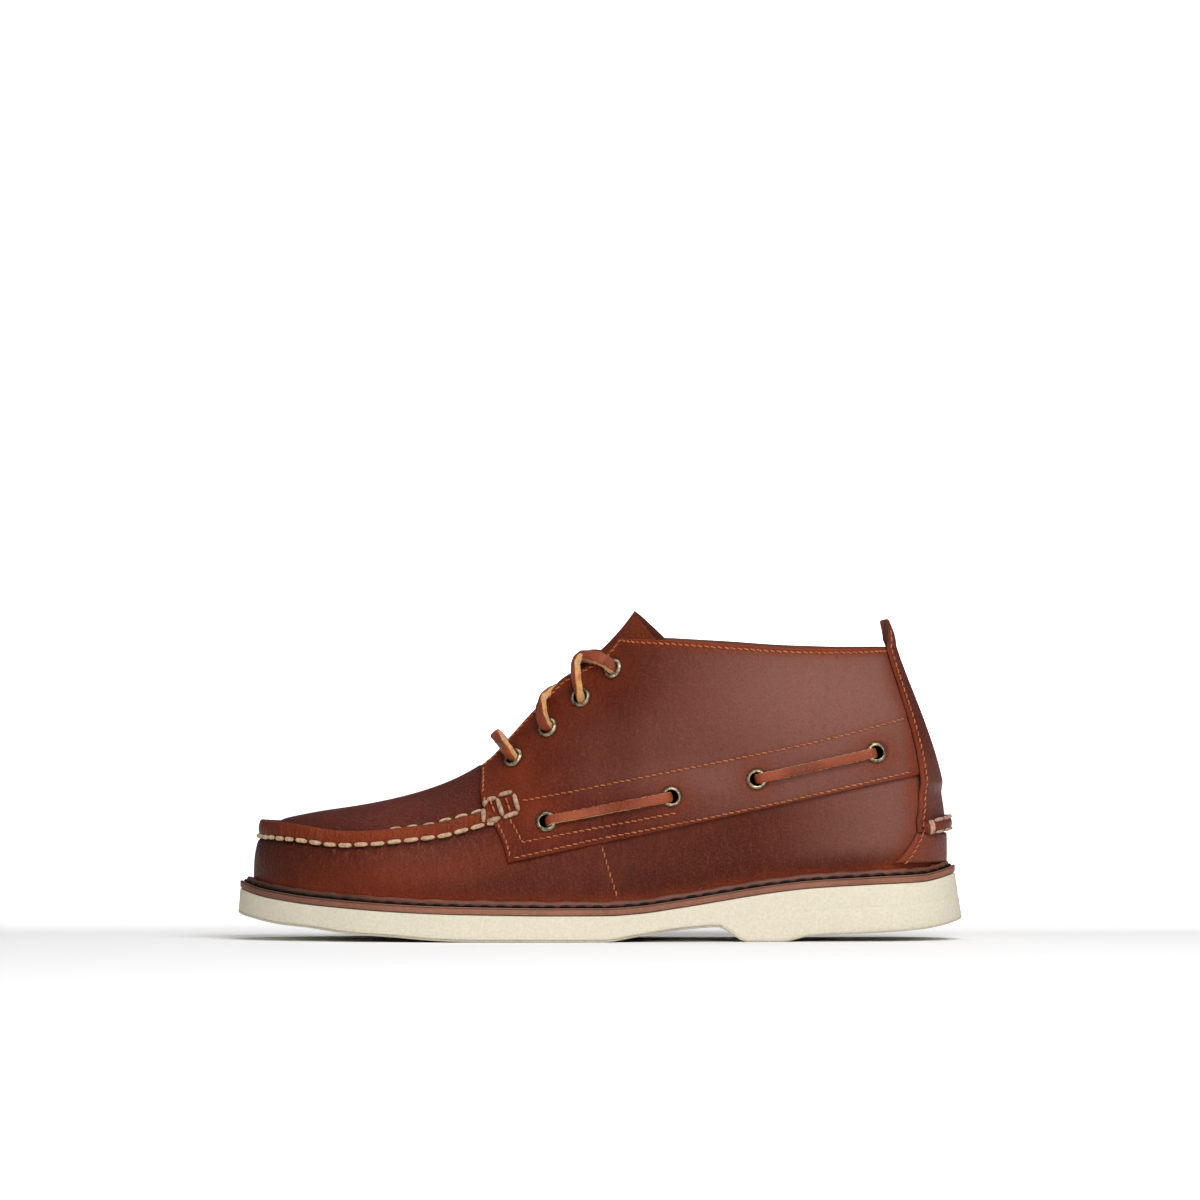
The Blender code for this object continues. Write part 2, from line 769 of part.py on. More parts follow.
def build_eyelet(name, spot, normal, look):
    """A ring with a rolled flange outside and a barrel through the quarter and the upper."""
    depth = PANEL_THICK + GAP + WALL + GAP
    profile = (
        (EYELET_HOLE, -depth),
        (EYELET_BARREL, -depth),
        (EYELET_BARREL, EYELET_SEAT),
        (EYELET_FLANGE, EYELET_SEAT),
        ((EYELET_FLANGE + EYELET_HOLE) / 2, EYELET_SEAT + EYELET_DOME),
        (EYELET_HOLE, EYELET_SEAT + EYELET_DOME * 0.6),
    )
    rings = [circle(spot + normal * z, normal, r, EYELET_SIDES) for r, z in profile]
    points = [ring[i] for i in range(EYELET_SIDES) for ring in rings]
    return add_mesh(name, points, loop_faces(EYELET_SIDES, len(profile)), look)


def build_holes(sites):
    """The cutter for all eyelet holes."""
    points, faces = [], []
    for spot, normal in sites:
        first = len(points)
        for z in (-HOLE_REACH, HOLE_REACH):
            points += circle(spot + normal * z, normal, EYELET_BARREL + GAP, EYELET_SIDES)
        faces.append([first + i for i in range(EYELET_SIDES)])
        faces.append([first + EYELET_SIDES + i for i in range(EYELET_SIDES)])
        for i in range(EYELET_SIDES):
            j = (i + 1) % EYELET_SIDES
            ends = (i, j, j + EYELET_SIDES, i + EYELET_SIDES)
            faces.append([first + end for end in ends])
    return guide(add_mesh("eyelet_holes", points, faces, None))


def guide(obj):
    obj.hide_render = True
    obj.display_type = "WIRE"
    return obj


def boolean(obj, other, operation):
    step = obj.modifiers.new(other.name, "BOOLEAN")
    step.operation = operation
    step.solver = "EXACT"
    step.object = other


def into_hole(site, towards):
    """The lace's way out of a hole and over its rim, towards a point, with its sideways directions."""
    spot, normal = site
    run = towards - spot
    run = (run - normal * run.dot(normal)).normalized()
    steps = ((-1.5, 0.0), (0.9, 0.0), (2.2, 0.8), (2.7, 2.4))
    return [(spot + (normal * up + run * out) * MM, normal.cross(run)) for up, out in steps]


def strap(name, path, look):
    """A flat strip along a path of points with sideways directions."""
    rings = []
    for i, (point, sideways) in enumerate(path):
        ahead, behind = path[min(i + 1, len(path) - 1)][0], path[max(i - 1, 0)][0]
        run = (ahead - behind).normalized()
        across = (sideways - run * sideways.dot(run)).normalized() * LACE_WIDTH / 2
        up = across.cross(run).normalized() * LACE_THICK / 2
        rings.append([point + across + up, point - across + up, point - across - up, point + across - up])
    return tube(name, rings, look)


def side_run(name, target, start, end, side, look):
    """A lace lying along the side between two eyelets."""
    middle = []
    for share in (0.16, 0.3, 0.44, 0.56, 0.7, 0.84):
        x = start[0].x + (end[0].x - start[0].x) * share
        z = start[0].z + (end[0].z - start[0].z) * share
        spot, normal = side_hit(target, x, z, side)
        lift = LACE_LIFT if share in (0.16, 0.84) else LACE_REST
        middle.append((spot + normal * lift, normal.cross(end[0] - start[0])))
    path = into_hole(start, middle[0][0]) + middle
    path += [(point, -sideways) for point, sideways in reversed(into_hole(end, middle[-1][0]))]
    return strap(name, path, look)


def crossing(start, end, target, tongue, under):
    """A taut lace over the instep from one eyelet's hole to another, or to under the far facing."""
    out = Vector((-1, 0, 1)).normalized()
    sideways = out.cross(end[0] - start[0]).normalized()
    shares = spaced(0.12, 0.88 if not under else 0.80, 12)
    spots, heights = [], []
    for share in shares:
        spot = start[0] + (end[0] - start[0]) * share
        rest = tongue if under and share > 0.5 else target
        found = []
        for offset in (-0.5, 0, 0.5):
            start_at = spot + sideways * LACE_WIDTH * offset + out * BALL_WIDTH
            hit, _, _, _ = rest.ray_cast(start_at, -out)
            found.append((hit - spot).dot(out))
        near_rim = share < 0.2 or (share > 0.8 and not under)
        spots.append(spot)
        heights.append(max(found) + (EYELET_SEAT + EYELET_DOME if near_rim else 0))
    clear = LACE_THICK / 2 + 2 * GAP
    count, taut = len(shares), []
    for k in range(count):
        best = heights[k]
        for i in range(k):
            for j in range(k + 1, count):
                share = (shares[k] - shares[i]) / (shares[j] - shares[i])
                best = max(best, heights[i] + (heights[j] - heights[i]) * share)
        taut.append(spots[k] + out * (best + clear))
    middle = [(point, sideways) for point in taut]
    path = into_hole(start, taut[0]) + middle
    if not under:
        path += [(point, -s) for point, s in reversed(into_hole(end, taut[-1]))]
    return path


def build_laces(quarters, tongue, facing, straps, look):
    whole, tongue_only = surface(quarters + [tongue]), surface([tongue])
    for side, word in ((LATERAL, "lateral"), (MEDIAL, "medial")):
        low, front, rear, back = straps[side]
        target = surface([quarters[0 if side == LATERAL else 1]])
        side_run(f"side_lace_front_{word}", target, low, front, side, look)
        side_run(f"side_lace_rear_{word}", target, rear, back, side, look)
    outer, inner = facing[LATERAL], facing[MEDIAL]
    strap("lace_bar", crossing(outer[0], inner[0], whole, tongue_only, False), look)
    for name, low, under in (("lace_cross_lower", 1, True), ("lace_cross_upper", 2, False)):
        first = strap(name, crossing(outer[low], inner[low + 1], whole, tongue_only, under), look)
        other = crossing(inner[low], outer[low + 1], whole, tongue_only, under)
        twin = strap(f"{name}_twin", other, look)
        boolean(first, guide(twin), "UNION")


def main():
    for obj in list(bpy.data.objects):
        bpy.data.objects.remove(obj)
    leather = material("leather", (0.17, 0.045, 0.022), 0.42)
    sole_foam = material("sole_foam", (0.76, 0.71, 0.57), 0.7)
    welt_leather = material("welt_leather", (0.30, 0.17, 0.125), 0.6)
    footbed = material("footbed", (0.20, 0.10, 0.05), 0.75)
    lace = material("lace", (0.32, 0.10, 0.045), 0.5)
    brass = material("brass", (0.29, 0.21, 0.15), 0.35, 1.0)
    build_outsole(sole_foam)
    build_midsole(welt_leather)
    build_welt(welt_leather)
    build_insole(footbed)
    upper = build_upper(leather)
    quarters = [
        build_quarter("quarter_lateral", LATERAL, leather),
        build_quarter("quarter_medial", MEDIAL, leather),
    ]
    tongue = build_tongue(leather)
    roll_top, roll_foot = ROLL_HIGH + ROLL_WIDE / 2 + GAP, ROLL_HIGH - ROLL_WIDE / 2 - GAP
    collar = SHAFT_HEIGHT * RIBS.read("high", 0) - GAP
    heel_panel("back_strip", roll_top, collar, 12, strip_half, strip_base, leather, tab=True)
    heel_panel(
        "heel_counter", bead_top(LENGTH / 2), roll_foot, 4, counter_half, counter_base, leather,
        follow_bead=True,
    )
    build_roll(leather)

    facing, straps, sites = {}, {}, []
    for side, word in ((LATERAL, "lateral"), (MEDIAL, "medial")):
        target = surface([quarters[0 if side == LATERAL else 1]])
        facing[side], straps[side] = [], []
        for number in FACING_EYELETS.places:
            x = LENGTH * (FACING_EYELETS.read("along", number) - 0.5)
            site = side_hit(target, x, SHAFT_HEIGHT * FACING_EYELETS.read("high", number), side)
            build_eyelet(f"facing_eyelet_{word}_{number}", *site, brass)
            facing[side].append(site)
        for number in SIDE_EYELETS.places:
            x = LENGTH * (SIDE_EYELETS.read("along", number) - 0.5)
            site = side_hit(target, x, quarter_low(x) + STRAP_EYELET_RISE, side)
            build_eyelet(f"side_eyelet_{word}_{number}", *site, brass)
            straps[side].append(site)
        sites += facing[side] + straps[side]
    build_laces(quarters, tongue, facing, straps, lace)
    holes = build_holes(sites)
    for obj in (upper, *quarters):
        boolean(obj, holes, "DIFFERENCE")


main()
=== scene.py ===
"""Chukka boot with a moccasin toe, left foot: the dressed model over its CAD frame.

All shapes are worked out in millimetres, and become metres when a mesh is made. The toe points to
-X and the outer side faces the camera at -Y.
"""

import math

import bmesh
import bpy
import numpy as np
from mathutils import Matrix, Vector
from mathutils.bvhtree import BVHTree


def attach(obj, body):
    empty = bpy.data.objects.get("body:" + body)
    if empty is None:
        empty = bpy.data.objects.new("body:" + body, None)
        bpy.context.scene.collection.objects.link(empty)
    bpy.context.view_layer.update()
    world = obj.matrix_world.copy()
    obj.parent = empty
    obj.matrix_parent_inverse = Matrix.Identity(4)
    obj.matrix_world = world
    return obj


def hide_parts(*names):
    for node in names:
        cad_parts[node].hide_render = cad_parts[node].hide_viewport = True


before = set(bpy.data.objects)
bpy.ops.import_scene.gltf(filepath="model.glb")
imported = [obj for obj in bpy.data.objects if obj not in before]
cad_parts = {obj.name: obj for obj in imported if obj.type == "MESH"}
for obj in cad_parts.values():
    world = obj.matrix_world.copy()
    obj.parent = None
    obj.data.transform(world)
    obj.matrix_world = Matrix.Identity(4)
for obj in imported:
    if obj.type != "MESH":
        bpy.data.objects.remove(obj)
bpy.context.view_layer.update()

# The same driving sizes as the part's source, in millimetres
LENGTH = 300.0
BALL_WIDTH = 108.0
SHAFT_HEIGHT = 121.0
HEEL_STACK = 24.0
GAP = 0.3
MIDSOLE_THICK = 3.0
SOLE_BEVEL = 1.2
TOE_ROUND = 58.0
HEEL_ROUND = 38.0
TOE_FLARE = 0.8
HEEL_FLARE = 2.9
WELT_REACH = 5.6
BEAD_WIDTH = 2.7
BEAD_HEIGHT = 2.7
INSOLE_THICK = 4.0
INSOLE_CLEAR = 1.0
WALL = 1.6
PANEL_THICK = 1.3
PANEL_GAP = 0.25
LIP_THICK = 3.2
PLUG_SINK = 1.4
THROAT_BOTTOM = 8.0
THROAT_TOP = 14.0
QUARTER_FRONT_HIGH = 32.6
QUARTER_REAR_HIGH = 66.5
QUARTER_FRONT_AT = -36.2
QUARTER_REAR_AT = 123.0
STRIP_THICK = 1.6
STRIP_TOP_HALF = 10.5
STRIP_LOW_HALF = 23.0
COUNTER_LOW_HALF = 31.0
TAB_RISE = 11.0
TAB_LEAN = 3.2
ROLL_HIGH = 49.5
ROLL_WIDE = 8.0
ROLL_THICK = 3.2
TONGUE_THICK = 2.0
TONGUE_DROP = 4.0
TONGUE_LOW_DROP = 1.9
TONGUE_HALF = 30.0
TONGUE_RISE = 21.5
TONGUE_FLARE = 2.5
TONGUE_NARROW = 0.12
EYELET_HOLE = 2.75
EYELET_FLANGE = 4.35

# Sizes of the dressed model alone, in millimetres
COLLAR_SEAM, FACING_SEAM, HEEL_SEAM = 1.75, 1.5, 1.9  # from an edge to its row of stitches
ROLL_MIDDLE = ROLL_HIGH - 1.3
ROLL_REACH = STRIP_LOW_HALF * 0.92  # from the middle of the heel to an end of the roll
ROLL_BASE = PANEL_GAP + STRIP_THICK * 0.5
ROLL_SAG = 1.9  # how much lower the roll's ends lie than its middle
LINE_STEP = 0.6  # between the points of a row of stitches
# and the laces' widths and thicknesses
SIDE_LACE, BAR_LACE, LOWER_LACE, UPPER_LACE = (4.0, 1.9), (4.7, 3.0), (4.9, 2.9), (5.2, 3.0)
WELD, FINE_WELD = 0.00001, 0.000001  # in metres: points closer than this become one

LATERAL, MEDIAL = -1, 1
SIDES = ((LATERAL, "lateral"), (MEDIAL, "medial"))
COLLAR_FRONT_RIB, THROAT_TOP_RIB, THROAT_RIB, TOE_RIB = 6, 7, 9, 13
random = np.random.default_rng(7)


class Table:
    """A table with named columns, read smoothly between its rows."""

    def __init__(self, columns, rows):
        data = np.array(rows, float)
        self.places = data[:, 0]
        self.columns, self.slopes = {}, {}
        for i, name in enumerate(columns.split()):
            ys = data[:, i]
            steps = np.diff(ys) / np.diff(self.places)
            slopes = np.empty_like(ys)
            slopes[0], slopes[-1] = steps[0], steps[-1]
            before, after = steps[:-1], steps[1:]
            total = before + after
            total[total == 0] = 1
            slopes[1:-1] = np.where(before * after > 0, 2 * before * after / total, 0)
            self.columns[name], self.slopes[name] = ys, slopes

    def read(self, column, at):
        xs, ys, slopes = self.places, self.columns[column], self.slopes[column]
        at = np.clip(at, xs[0], xs[-1])
        i = np.clip(np.searchsorted(xs, at, side="right") - 1, 0, len(xs) - 2)
        width = xs[i + 1] - xs[i]
        share = (at - xs[i]) / width
        square, cube = share**2, share**3
        return (
            (2 * cube - 3 * square + 1) * ys[i]
            + (cube - 2 * square + share) * slopes[i] * width
            + (3 * square - 2 * cube) * ys[i + 1]
            + (cube - square) * slopes[i + 1] * width
        )


PLAN = Table(
    "along half shift",
    [
        (0.00, 0.425, 0.070),
        (0.10, 0.435, 0.050),
        (0.20, 0.475, 0.022),
        (0.30, 0.500, 0.001),
        (0.40, 0.490, -0.014),
        (0.50, 0.448, -0.032),
        (0.60, 0.402, -0.040),
        (0.70, 0.370, -0.034),
        (0.80, 0.356, -0.018),
        (0.90, 0.352, -0.005),
        (1.00, 0.352, 0.000),
    ],
)
SOLE = Table(
    "along tread deck",
    [
        (0.000, 0.440, 0.890),
        (0.033, 0.340, 0.758),
        (0.063, 0.275, 0.692),
        (0.094, 0.240, 0.638),
        (0.154, 0.138, 0.571),
        (0.215, 0.085, 0.517),
        (0.276, 0.025, 0.483),
        (0.340, 0.000, 0.465),
        (0.440, 0.000, 0.450),
        (0.505, 0.000, 0.450),
        (0.550, 0.090, 0.483),
        (0.611, 0.208, 0.588),
        (0.662, 0.254, 0.690),
        (0.7025, 0.000, 0.775),
        (0.750, 0.000, 0.860),
        (0.793, 0.104, 0.917),
        (0.885, 0.154, 0.983),
        (0.945, 0.208, 1.017),
        (0.976, 0.275, 1.100),
        (1.000, 0.360, 1.200),
    ],
)
RIBS = Table(
    "rib turn along high half leave bulge arrive tilt slope seam lip",
    [
        (0, 0.0, 0.899, 1.000, 0.000, 0.330, 0.020, 0.205, 17.0, 0.0, 0.43, 0.0),
        (1, 20.0, 0.882, 1.000, 0.138, 0.320, 0.018, 0.205, 14.0, 0.0, 0.43, 0.0),
        (2, 38.0, 0.836, 0.999, 0.225, 0.300, 0.014, 0.220, 8.0, 0.0, 0.43, 0.0),
        (3, 55.0, 0.757, 1.004, 0.278, 0.285, 0.010, 0.250, 4.0, 0.0, 0.43, 0.0),
        (4, 70.0, 0.666, 1.019, 0.294, 0.285, 0.008, 0.265, 6.0, 0.0, 0.43, 0.0),
        (5, 80.5, 0.582, 1.029, 0.250, 0.300, 0.000, 0.250, 22.0, 4.0, 0.43, 0.0),
        (6, 85.0, 0.536, 1.028, 0.163, 0.315, 0.000, 0.200, 50.0, 12.0, 0.43, 0.0),
        (7, 88.5, 0.497, 1.043, 0.000, 0.330, 0.000, 0.140, 90.0, 42.0, 0.43, 0.0),
        (8, 94.0, 0.424, 0.874, 0.000, 0.300, 0.000, 0.155, 90.0, 46.0, 0.43, 4.0),
        (9, 102.0, 0.333, 0.596, 0.000, 0.250, 0.004, 0.165, 90.0, 30.0, 0.412, 6.0),
        (10, 116.0, 0.251, 0.506, 0.000, 0.205, 0.012, 0.200, 90.0, 16.0, 0.353, 6.6),
        (11, 135.0, 0.175, 0.462, 0.000, 0.180, 0.016, 0.245, 90.0, 9.0, 0.326, 6.6),
        (12, 155.0, 0.120, 0.441, 0.000, 0.165, 0.012, 0.220, 90.0, 9.0, 0.345, 7.0),
        (13, 180.0, 0.088, 0.426, 0.000, 0.165, 0.004, 0.142, 90.0, 9.0, 0.351, 7.2),
    ],
)


# Shapes of the sole and of the last, for whole arrays of places at a time


def unit(v):
    return v / np.maximum(np.linalg.norm(v, axis=-1, keepdims=True), 1e-12)


def smooth(low, high, x):
    s = np.clip((x - low) / (high - low), 0, 1)
    return s * s * (3 - 2 * s)


def closing(distance, radius):
    return np.sqrt(np.clip(1 - (np.clip(radius - distance, 0, None) / radius) ** 2, 0, 1))


def along_of(x):
    return 0.5 + x / LENGTH


def edge(angle):
    """The sole's widest outline. angle runs from the heel by the outer side and the toe."""
    angle = np.asarray(angle, float) % 360
    side = np.where(angle <= 180, LATERAL, MEDIAL)
    x = LENGTH / 2 * np.cos(np.radians(angle))
    along = along_of(x)
    ends = closing(LENGTH * along, TOE_ROUND) * closing(LENGTH * (1 - along), HEEL_ROUND)
    half = BALL_WIDTH * PLAN.read("half", along) * ends
    return np.stack([x, BALL_WIDTH * PLAN.read("shift", along) + side * half], -1)


def outline(angle, inset):
    run = unit(edge(angle + 1) - edge(angle - 1))
    outward = np.stack([-run[..., 1], run[..., 0]], -1)
    return edge(angle) - outward * np.asarray(inset, float)[..., None], outward


def flare(angle):
    rear = (1 + np.cos(np.radians(angle))) / 2
    return TOE_FLARE + (HEEL_FLARE - TOE_FLARE) * rear**3


def sole_height(column, x):
    return HEEL_STACK * SOLE.read(column, along_of(x))


def deck(x):
    return sole_height("deck", x)


def tread(x):
    return sole_height("tread", x)


def plate_low(x):
    return deck(x) + GAP


def raised(height, by):
    """A function of x that gives another one's height and a fixed rise."""
    return lambda x: height(x) + by


def welt_height(x):
    return plate_low(x) + MIDSOLE_THICK


def feather_inset(angle):
    return flare(angle) + WELT_REACH


def rib_point(u, t, side):
    """Points of the last's ribs: u along them, t from the sole's edge up to the collar or crown."""
    u, t = np.broadcast_arrays(np.asarray(u, float), np.asarray(t, float))
    turn = RIBS.read("turn", u)
    angle = turn if side == LATERAL else 360 - turn
    foot, outward = outline(angle, feather_inset(angle))
    base = np.concatenate([foot, (welt_height(foot[..., 0]) + GAP)[..., None]], -1)
    x = LENGTH * (RIBS.read("along", u) - 0.5)
    axis = BALL_WIDTH * PLAN.read("shift", along_of(x))
    half = BALL_WIDTH * RIBS.read("half", u)
    top = np.stack([x, axis + side * half, SHAFT_HEIGHT * RIBS.read("high", u)], -1)
    slope, tilt = np.radians(RIBS.read("slope", u)), np.radians(RIBS.read("tilt", u))
    ox, oy, zero = outward[..., 0], outward[..., 1], np.zeros_like(u)
    inward = np.stack([-ox, -oy, -ox * np.tan(slope)], -1)
    up = np.stack([-np.sin(slope), zero, np.cos(slope)], -1)
    arriving = up * np.cos(tilt)[..., None] + inward * np.sin(tilt)[..., None]
    bulge = RIBS.read("bulge", u)
    leave = np.stack([ox * bulge, oy * bulge, RIBS.read("leave", u)], -1)
    second = base + leave * SHAFT_HEIGHT
    third = top - arriving * RIBS.read("arrive", u)[..., None] * SHAFT_HEIGHT
    t = t[..., None]
    s = 1 - t
    return base * s**3 + second * (3 * s * s * t) + third * (3 * s * t * t) + top * t**3


def arch(u, t, side):
    """Points of the last, evened out beside the throat where its ribs turn quickly."""
    u, t = np.broadcast_arrays(np.asarray(u, float), np.asarray(t, float))
    point = rib_point(u, t, side)
    share = (smooth(4.6, 5.6, u) * (1 - smooth(8.1, 8.9, u)))[..., None]
    if not share.any():
        return point
    total, even = 0.0, np.zeros_like(point)
    for step in (-0.75, -0.5, -0.25, 0.0, 0.25, 0.5, 0.75):
        weight = math.exp(-((step / 0.5) ** 2))
        even = even + rib_point(u + step, t, side) * weight
        total += weight
    return point + (even / total - point) * share


def normal(u, t, side):
    u, t = np.broadcast_arrays(np.asarray(u, float), np.asarray(t, float))
    du, dt = 0.03, 0.01
    along = arch(np.minimum(u + du, TOE_RIB), t, side) - arch(np.maximum(u - du, 0), t, side)
    rising = arch(u, np.minimum(t + dt, 1), side) - arch(u, np.maximum(t - dt, 0), side)
    return unit(np.cross(along, rising)) * side


def skin(u, t, side, offset):
    return arch(u, t, side) + normal(u, t, side) * np.asarray(offset, float)[..., None]


FINE = np.linspace(0, 1, 321)


class Columns:
    """Ribs sampled finely, so that levels can be found by height, length or distance."""

    def __init__(self, us, side):
        self.us, self.side = np.asarray(us, float), side
        self.points = arch(self.us[:, None], FINE[None, :], side)
        steps = np.linalg.norm(np.diff(self.points, axis=1), axis=-1)
        self.lengths = np.concatenate([np.zeros((len(us), 1)), np.cumsum(steps, 1)], 1)
        x = self.points[..., 0]
        axis = BALL_WIDTH * PLAN.read("shift", along_of(x))
        self.off_axis = (self.points[..., 1] - axis) * side

    def first_above(self, values):
        """The level in each rib where values first rise above 0."""
        above = values > 0
        i = np.where(above.any(1), above.argmax(1), len(FINE) - 1)
        i = np.maximum(i, 1)
        rows = np.arange(len(i))
        a, b = values[rows, i - 1], values[rows, i]
        share = np.clip(np.where(b - a != 0, -a / np.where(b - a == 0, 1, b - a), 0), 0, 1)
        level = FINE[i - 1] + (FINE[i] - FINE[i - 1]) * share
        return np.where(above.any(1), level, 1.0)

    def length_at(self, levels):
        return np.array([np.interp(t, FINE, s) for t, s in zip(levels, self.lengths)])

    def level_at(self, lengths):
        return np.array([np.interp(s, row, FINE) for s, row in zip(lengths, self.lengths)])

    def cut(self):
        """Where the opening starts: 1 at the collar, less beside the throat."""
        bottom = SHAFT_HEIGHT * RIBS.read("high", THROAT_RIB)
        share = np.clip((self.points[..., 2] - bottom) / (SHAFT_HEIGHT - bottom), 0, 1)
        half = THROAT_BOTTOM + (THROAT_TOP - THROAT_BOTTOM) * share
        level = self.first_above(np.where(FINE > 0.3, half - self.off_axis, -1))
        return np.where(self.us < COLLAR_FRONT_RIB - 1, 1.0, level)

    def at_height(self, high):
        return self.first_above(self.points[..., 2] - high[..., None])

    def quarter_foot(self):
        share = (self.points[..., 0] - QUARTER_FRONT_AT) / (QUARTER_REAR_AT - QUARTER_FRONT_AT)
        low = QUARTER_FRONT_HIGH + (QUARTER_REAR_HIGH - QUARTER_FRONT_HIGH) * share
        return self.first_above(self.points[..., 2] - low)


# Meshes and pieces


def mesh_piece(name, points, faces, looks, attributes=None, face_look=None):
    """A piece from points in millimetres. It rides the boot's one body."""
    mesh = bpy.data.meshes.new(name)
    mesh.from_pydata((np.asarray(points) * 0.001).tolist(), [], faces)
    mesh.validate()
    for look in looks if isinstance(looks, (list, tuple)) else [looks]:
        mesh.materials.append(look)
    if face_look is not None:
        mesh.polygons.foreach_set("material_index", np.asarray(face_look, int))
    mesh.shade_smooth()
    for key, values in (attributes or {}).items():
        layer = mesh.attributes.new(key, "FLOAT", "POINT")
        layer.data.foreach_set("value", np.asarray(values, float))
    mesh.update()
    obj = bpy.data.objects.new(name, mesh)
    bpy.context.scene.collection.objects.link(obj)
    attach(obj, "root")
    return obj


def grid_faces(rows, columns, first=0, wrap=False, flip=False):
    r, c = np.meshgrid(np.arange(rows - 1), np.arange(columns if wrap else columns - 1), indexing="ij")
    d = (c + 1) % columns
    quads = np.stack([r * columns + c, r * columns + d, (r + 1) * columns + d, (r + 1) * columns + c], -1)
    quads = quads.reshape(-1, 4) + first
    return quads[:, ::-1] if flip else quads


def shell(outer, inner, wrap=False, flip=False, rims=(True, True)):
    """Points and faces of a closed sheet from two grids of one shape (rows, columns, 3)."""
    rows, columns = outer.shape[:2]
    points = np.concatenate([outer.reshape(-1, 3), inner.reshape(-1, 3)])
    half = rows * columns
    faces = [grid_faces(rows, columns, 0, wrap, flip), grid_faces(rows, columns, half, wrap, not flip)]
    c = np.arange(columns if wrap else columns - 1)
    d = (c + 1) % columns
    for row, on, turned in ((0, rims[0], not flip), (rows - 1, rims[1], flip)):
        if on:
            a, b = row * columns + c, row * columns + d
            quads = np.stack([a, b, b + half, a + half], -1)
            faces.append(quads[:, ::-1] if not turned else quads)
    if not wrap:
        r = np.arange(rows - 1)
        for column, turned in ((0, flip), (columns - 1, not flip)):
            a, b = r * columns + column, (r + 1) * columns + column
            quads = np.stack([a, b, b + half, a + half], -1)
            faces.append(quads[:, ::-1] if not turned else quads)
    return points, np.concatenate(faces)


def sheet_looks(grid, faces):
    """Looks of a closed sheet's faces: 0 on its outside, 1 on its inside, 2 round its rim."""
    count = (grid.shape[0] - 1) * (grid.shape[1] - 1)
    return np.concatenate([np.zeros(count), np.ones(count), np.full(len(faces) - 2 * count, 2)])


def sweep(rings, wrap=False, caps=True):
    """Points and faces of a tube through rings of points, an array (rings, sides, 3)."""
    count, sides = rings.shape[:2]
    i, j = np.meshgrid(np.arange(count if wrap else count - 1), np.arange(sides), indexing="ij")
    ni, nj = (i + 1) % count, (j + 1) % sides
    quads = np.stack([i * sides + j, ni * sides + j, ni * sides + nj, i * sides + nj], -1)
    faces = [tuple(q) for q in quads.reshape(-1, 4).tolist()]
    if caps and not wrap:
        faces.append(tuple(range(sides - 1, -1, -1)))
        faces.append(tuple(range((count - 1) * sides, count * sides)))
    return rings.reshape(-1, 3), faces


class Heap:
    """Joins many small tubes into one mesh."""

    def __init__(self):
        self.points, self.faces, self.looks, self.count = [], [], [], 0

    def add(self, points, faces, look=0):
        self.points.append(np.asarray(points, float))
        self.faces += [tuple(i + self.count for i in face) for face in faces]
        self.looks += [look] * len(faces)
        self.count += len(points)

    def piece(self, name, looks, **more):
        return mesh_piece(name, np.concatenate(self.points), self.faces, looks, face_look=self.looks, **more)


def frames(path, ups):
    """Tangent, sideways and up directions along a path."""
    path, ups = np.asarray(path, float), np.asarray(ups, float)
    run = np.empty_like(path)
    run[1:-1] = path[2:] - path[:-2]
    run[0], run[-1] = path[1] - path[0], path[-1] - path[-2]
    run = unit(run)
    sideways = unit(np.cross(run, ups))
    return run, sideways, np.cross(sideways, run)


def thread(path, ups, radius, sides=6, flat=1.0):
    """Rings of one stitch: a small thread thicker in its middle than at its ends."""
    path = np.asarray(path, float)
    _, sideways, up = frames(path, ups)
    ends = np.linspace(-1, 1, len(path))
    size = radius * (0.35 + 0.65 * np.sqrt(np.clip(1 - np.abs(ends) ** 3.5, 0, 1)))
    turns = np.linspace(0, 2 * math.pi, sides, endpoint=False)
    ring = sideways[:, None] * np.cos(turns)[None, :, None]
    ring = ring + up[:, None] * np.sin(turns)[None, :, None] * flat
    return path[:, None] + ring * size[:, None, None]


def distances(path):
    """How far each point of a path lies along it."""
    return np.concatenate([[0], np.cumsum(np.linalg.norm(np.diff(path, axis=0), axis=1))])


def read_line(at, lengths, values):
    """Values of a line, one row a point, at other distances along it."""
    return np.stack([np.interp(at, lengths, values[:, i]) for i in range(values.shape[1])], -1)


def resample(path, step=None, count=None):
    """Points at even spacing along a path, with their distances."""
    path = np.asarray(path, float)
    lengths = distances(path)
    if count is None:
        count = max(2, int(round(lengths[-1] / step)) + 1)
    at = np.linspace(0, lengths[-1], count)
    return read_line(at, lengths, path), at


def rounded(path, count=60):
    """A smooth curve through a few points (Catmull-Rom)."""
    path = np.asarray(path, float)
    ends = np.concatenate([[2 * path[0] - path[1]], path, [2 * path[-1] - path[-2]]])
    out = []
    per = max(2, count // (len(path) - 1))
    for i in range(len(path) - 1):
        p0, p1, p2, p3 = ends[i : i + 4]
        for s in np.linspace(0, 1, per, endpoint=False):
            out.append(
                0.5 * (2 * p1 + (p2 - p0) * s + (2 * p0 - 5 * p1 + 4 * p2 - p3) * s**2
                       + (3 * p1 - p0 - 3 * p2 + p3) * s**3)
            )
    out.append(path[-1])
    return np.array(out)


def line_distance(points, path):
    """Distance of each 2-D point to a 2-D line of several points."""
    best = np.full(len(points), 1e9)
    for a, b in zip(path[:-1], path[1:]):
        ab = b - a
        share = np.clip(((points - a) @ ab) / max(ab @ ab, 1e-9), 0, 1)
        best = np.minimum(best, np.linalg.norm(points - a - share[:, None] * ab, axis=1))
    return best


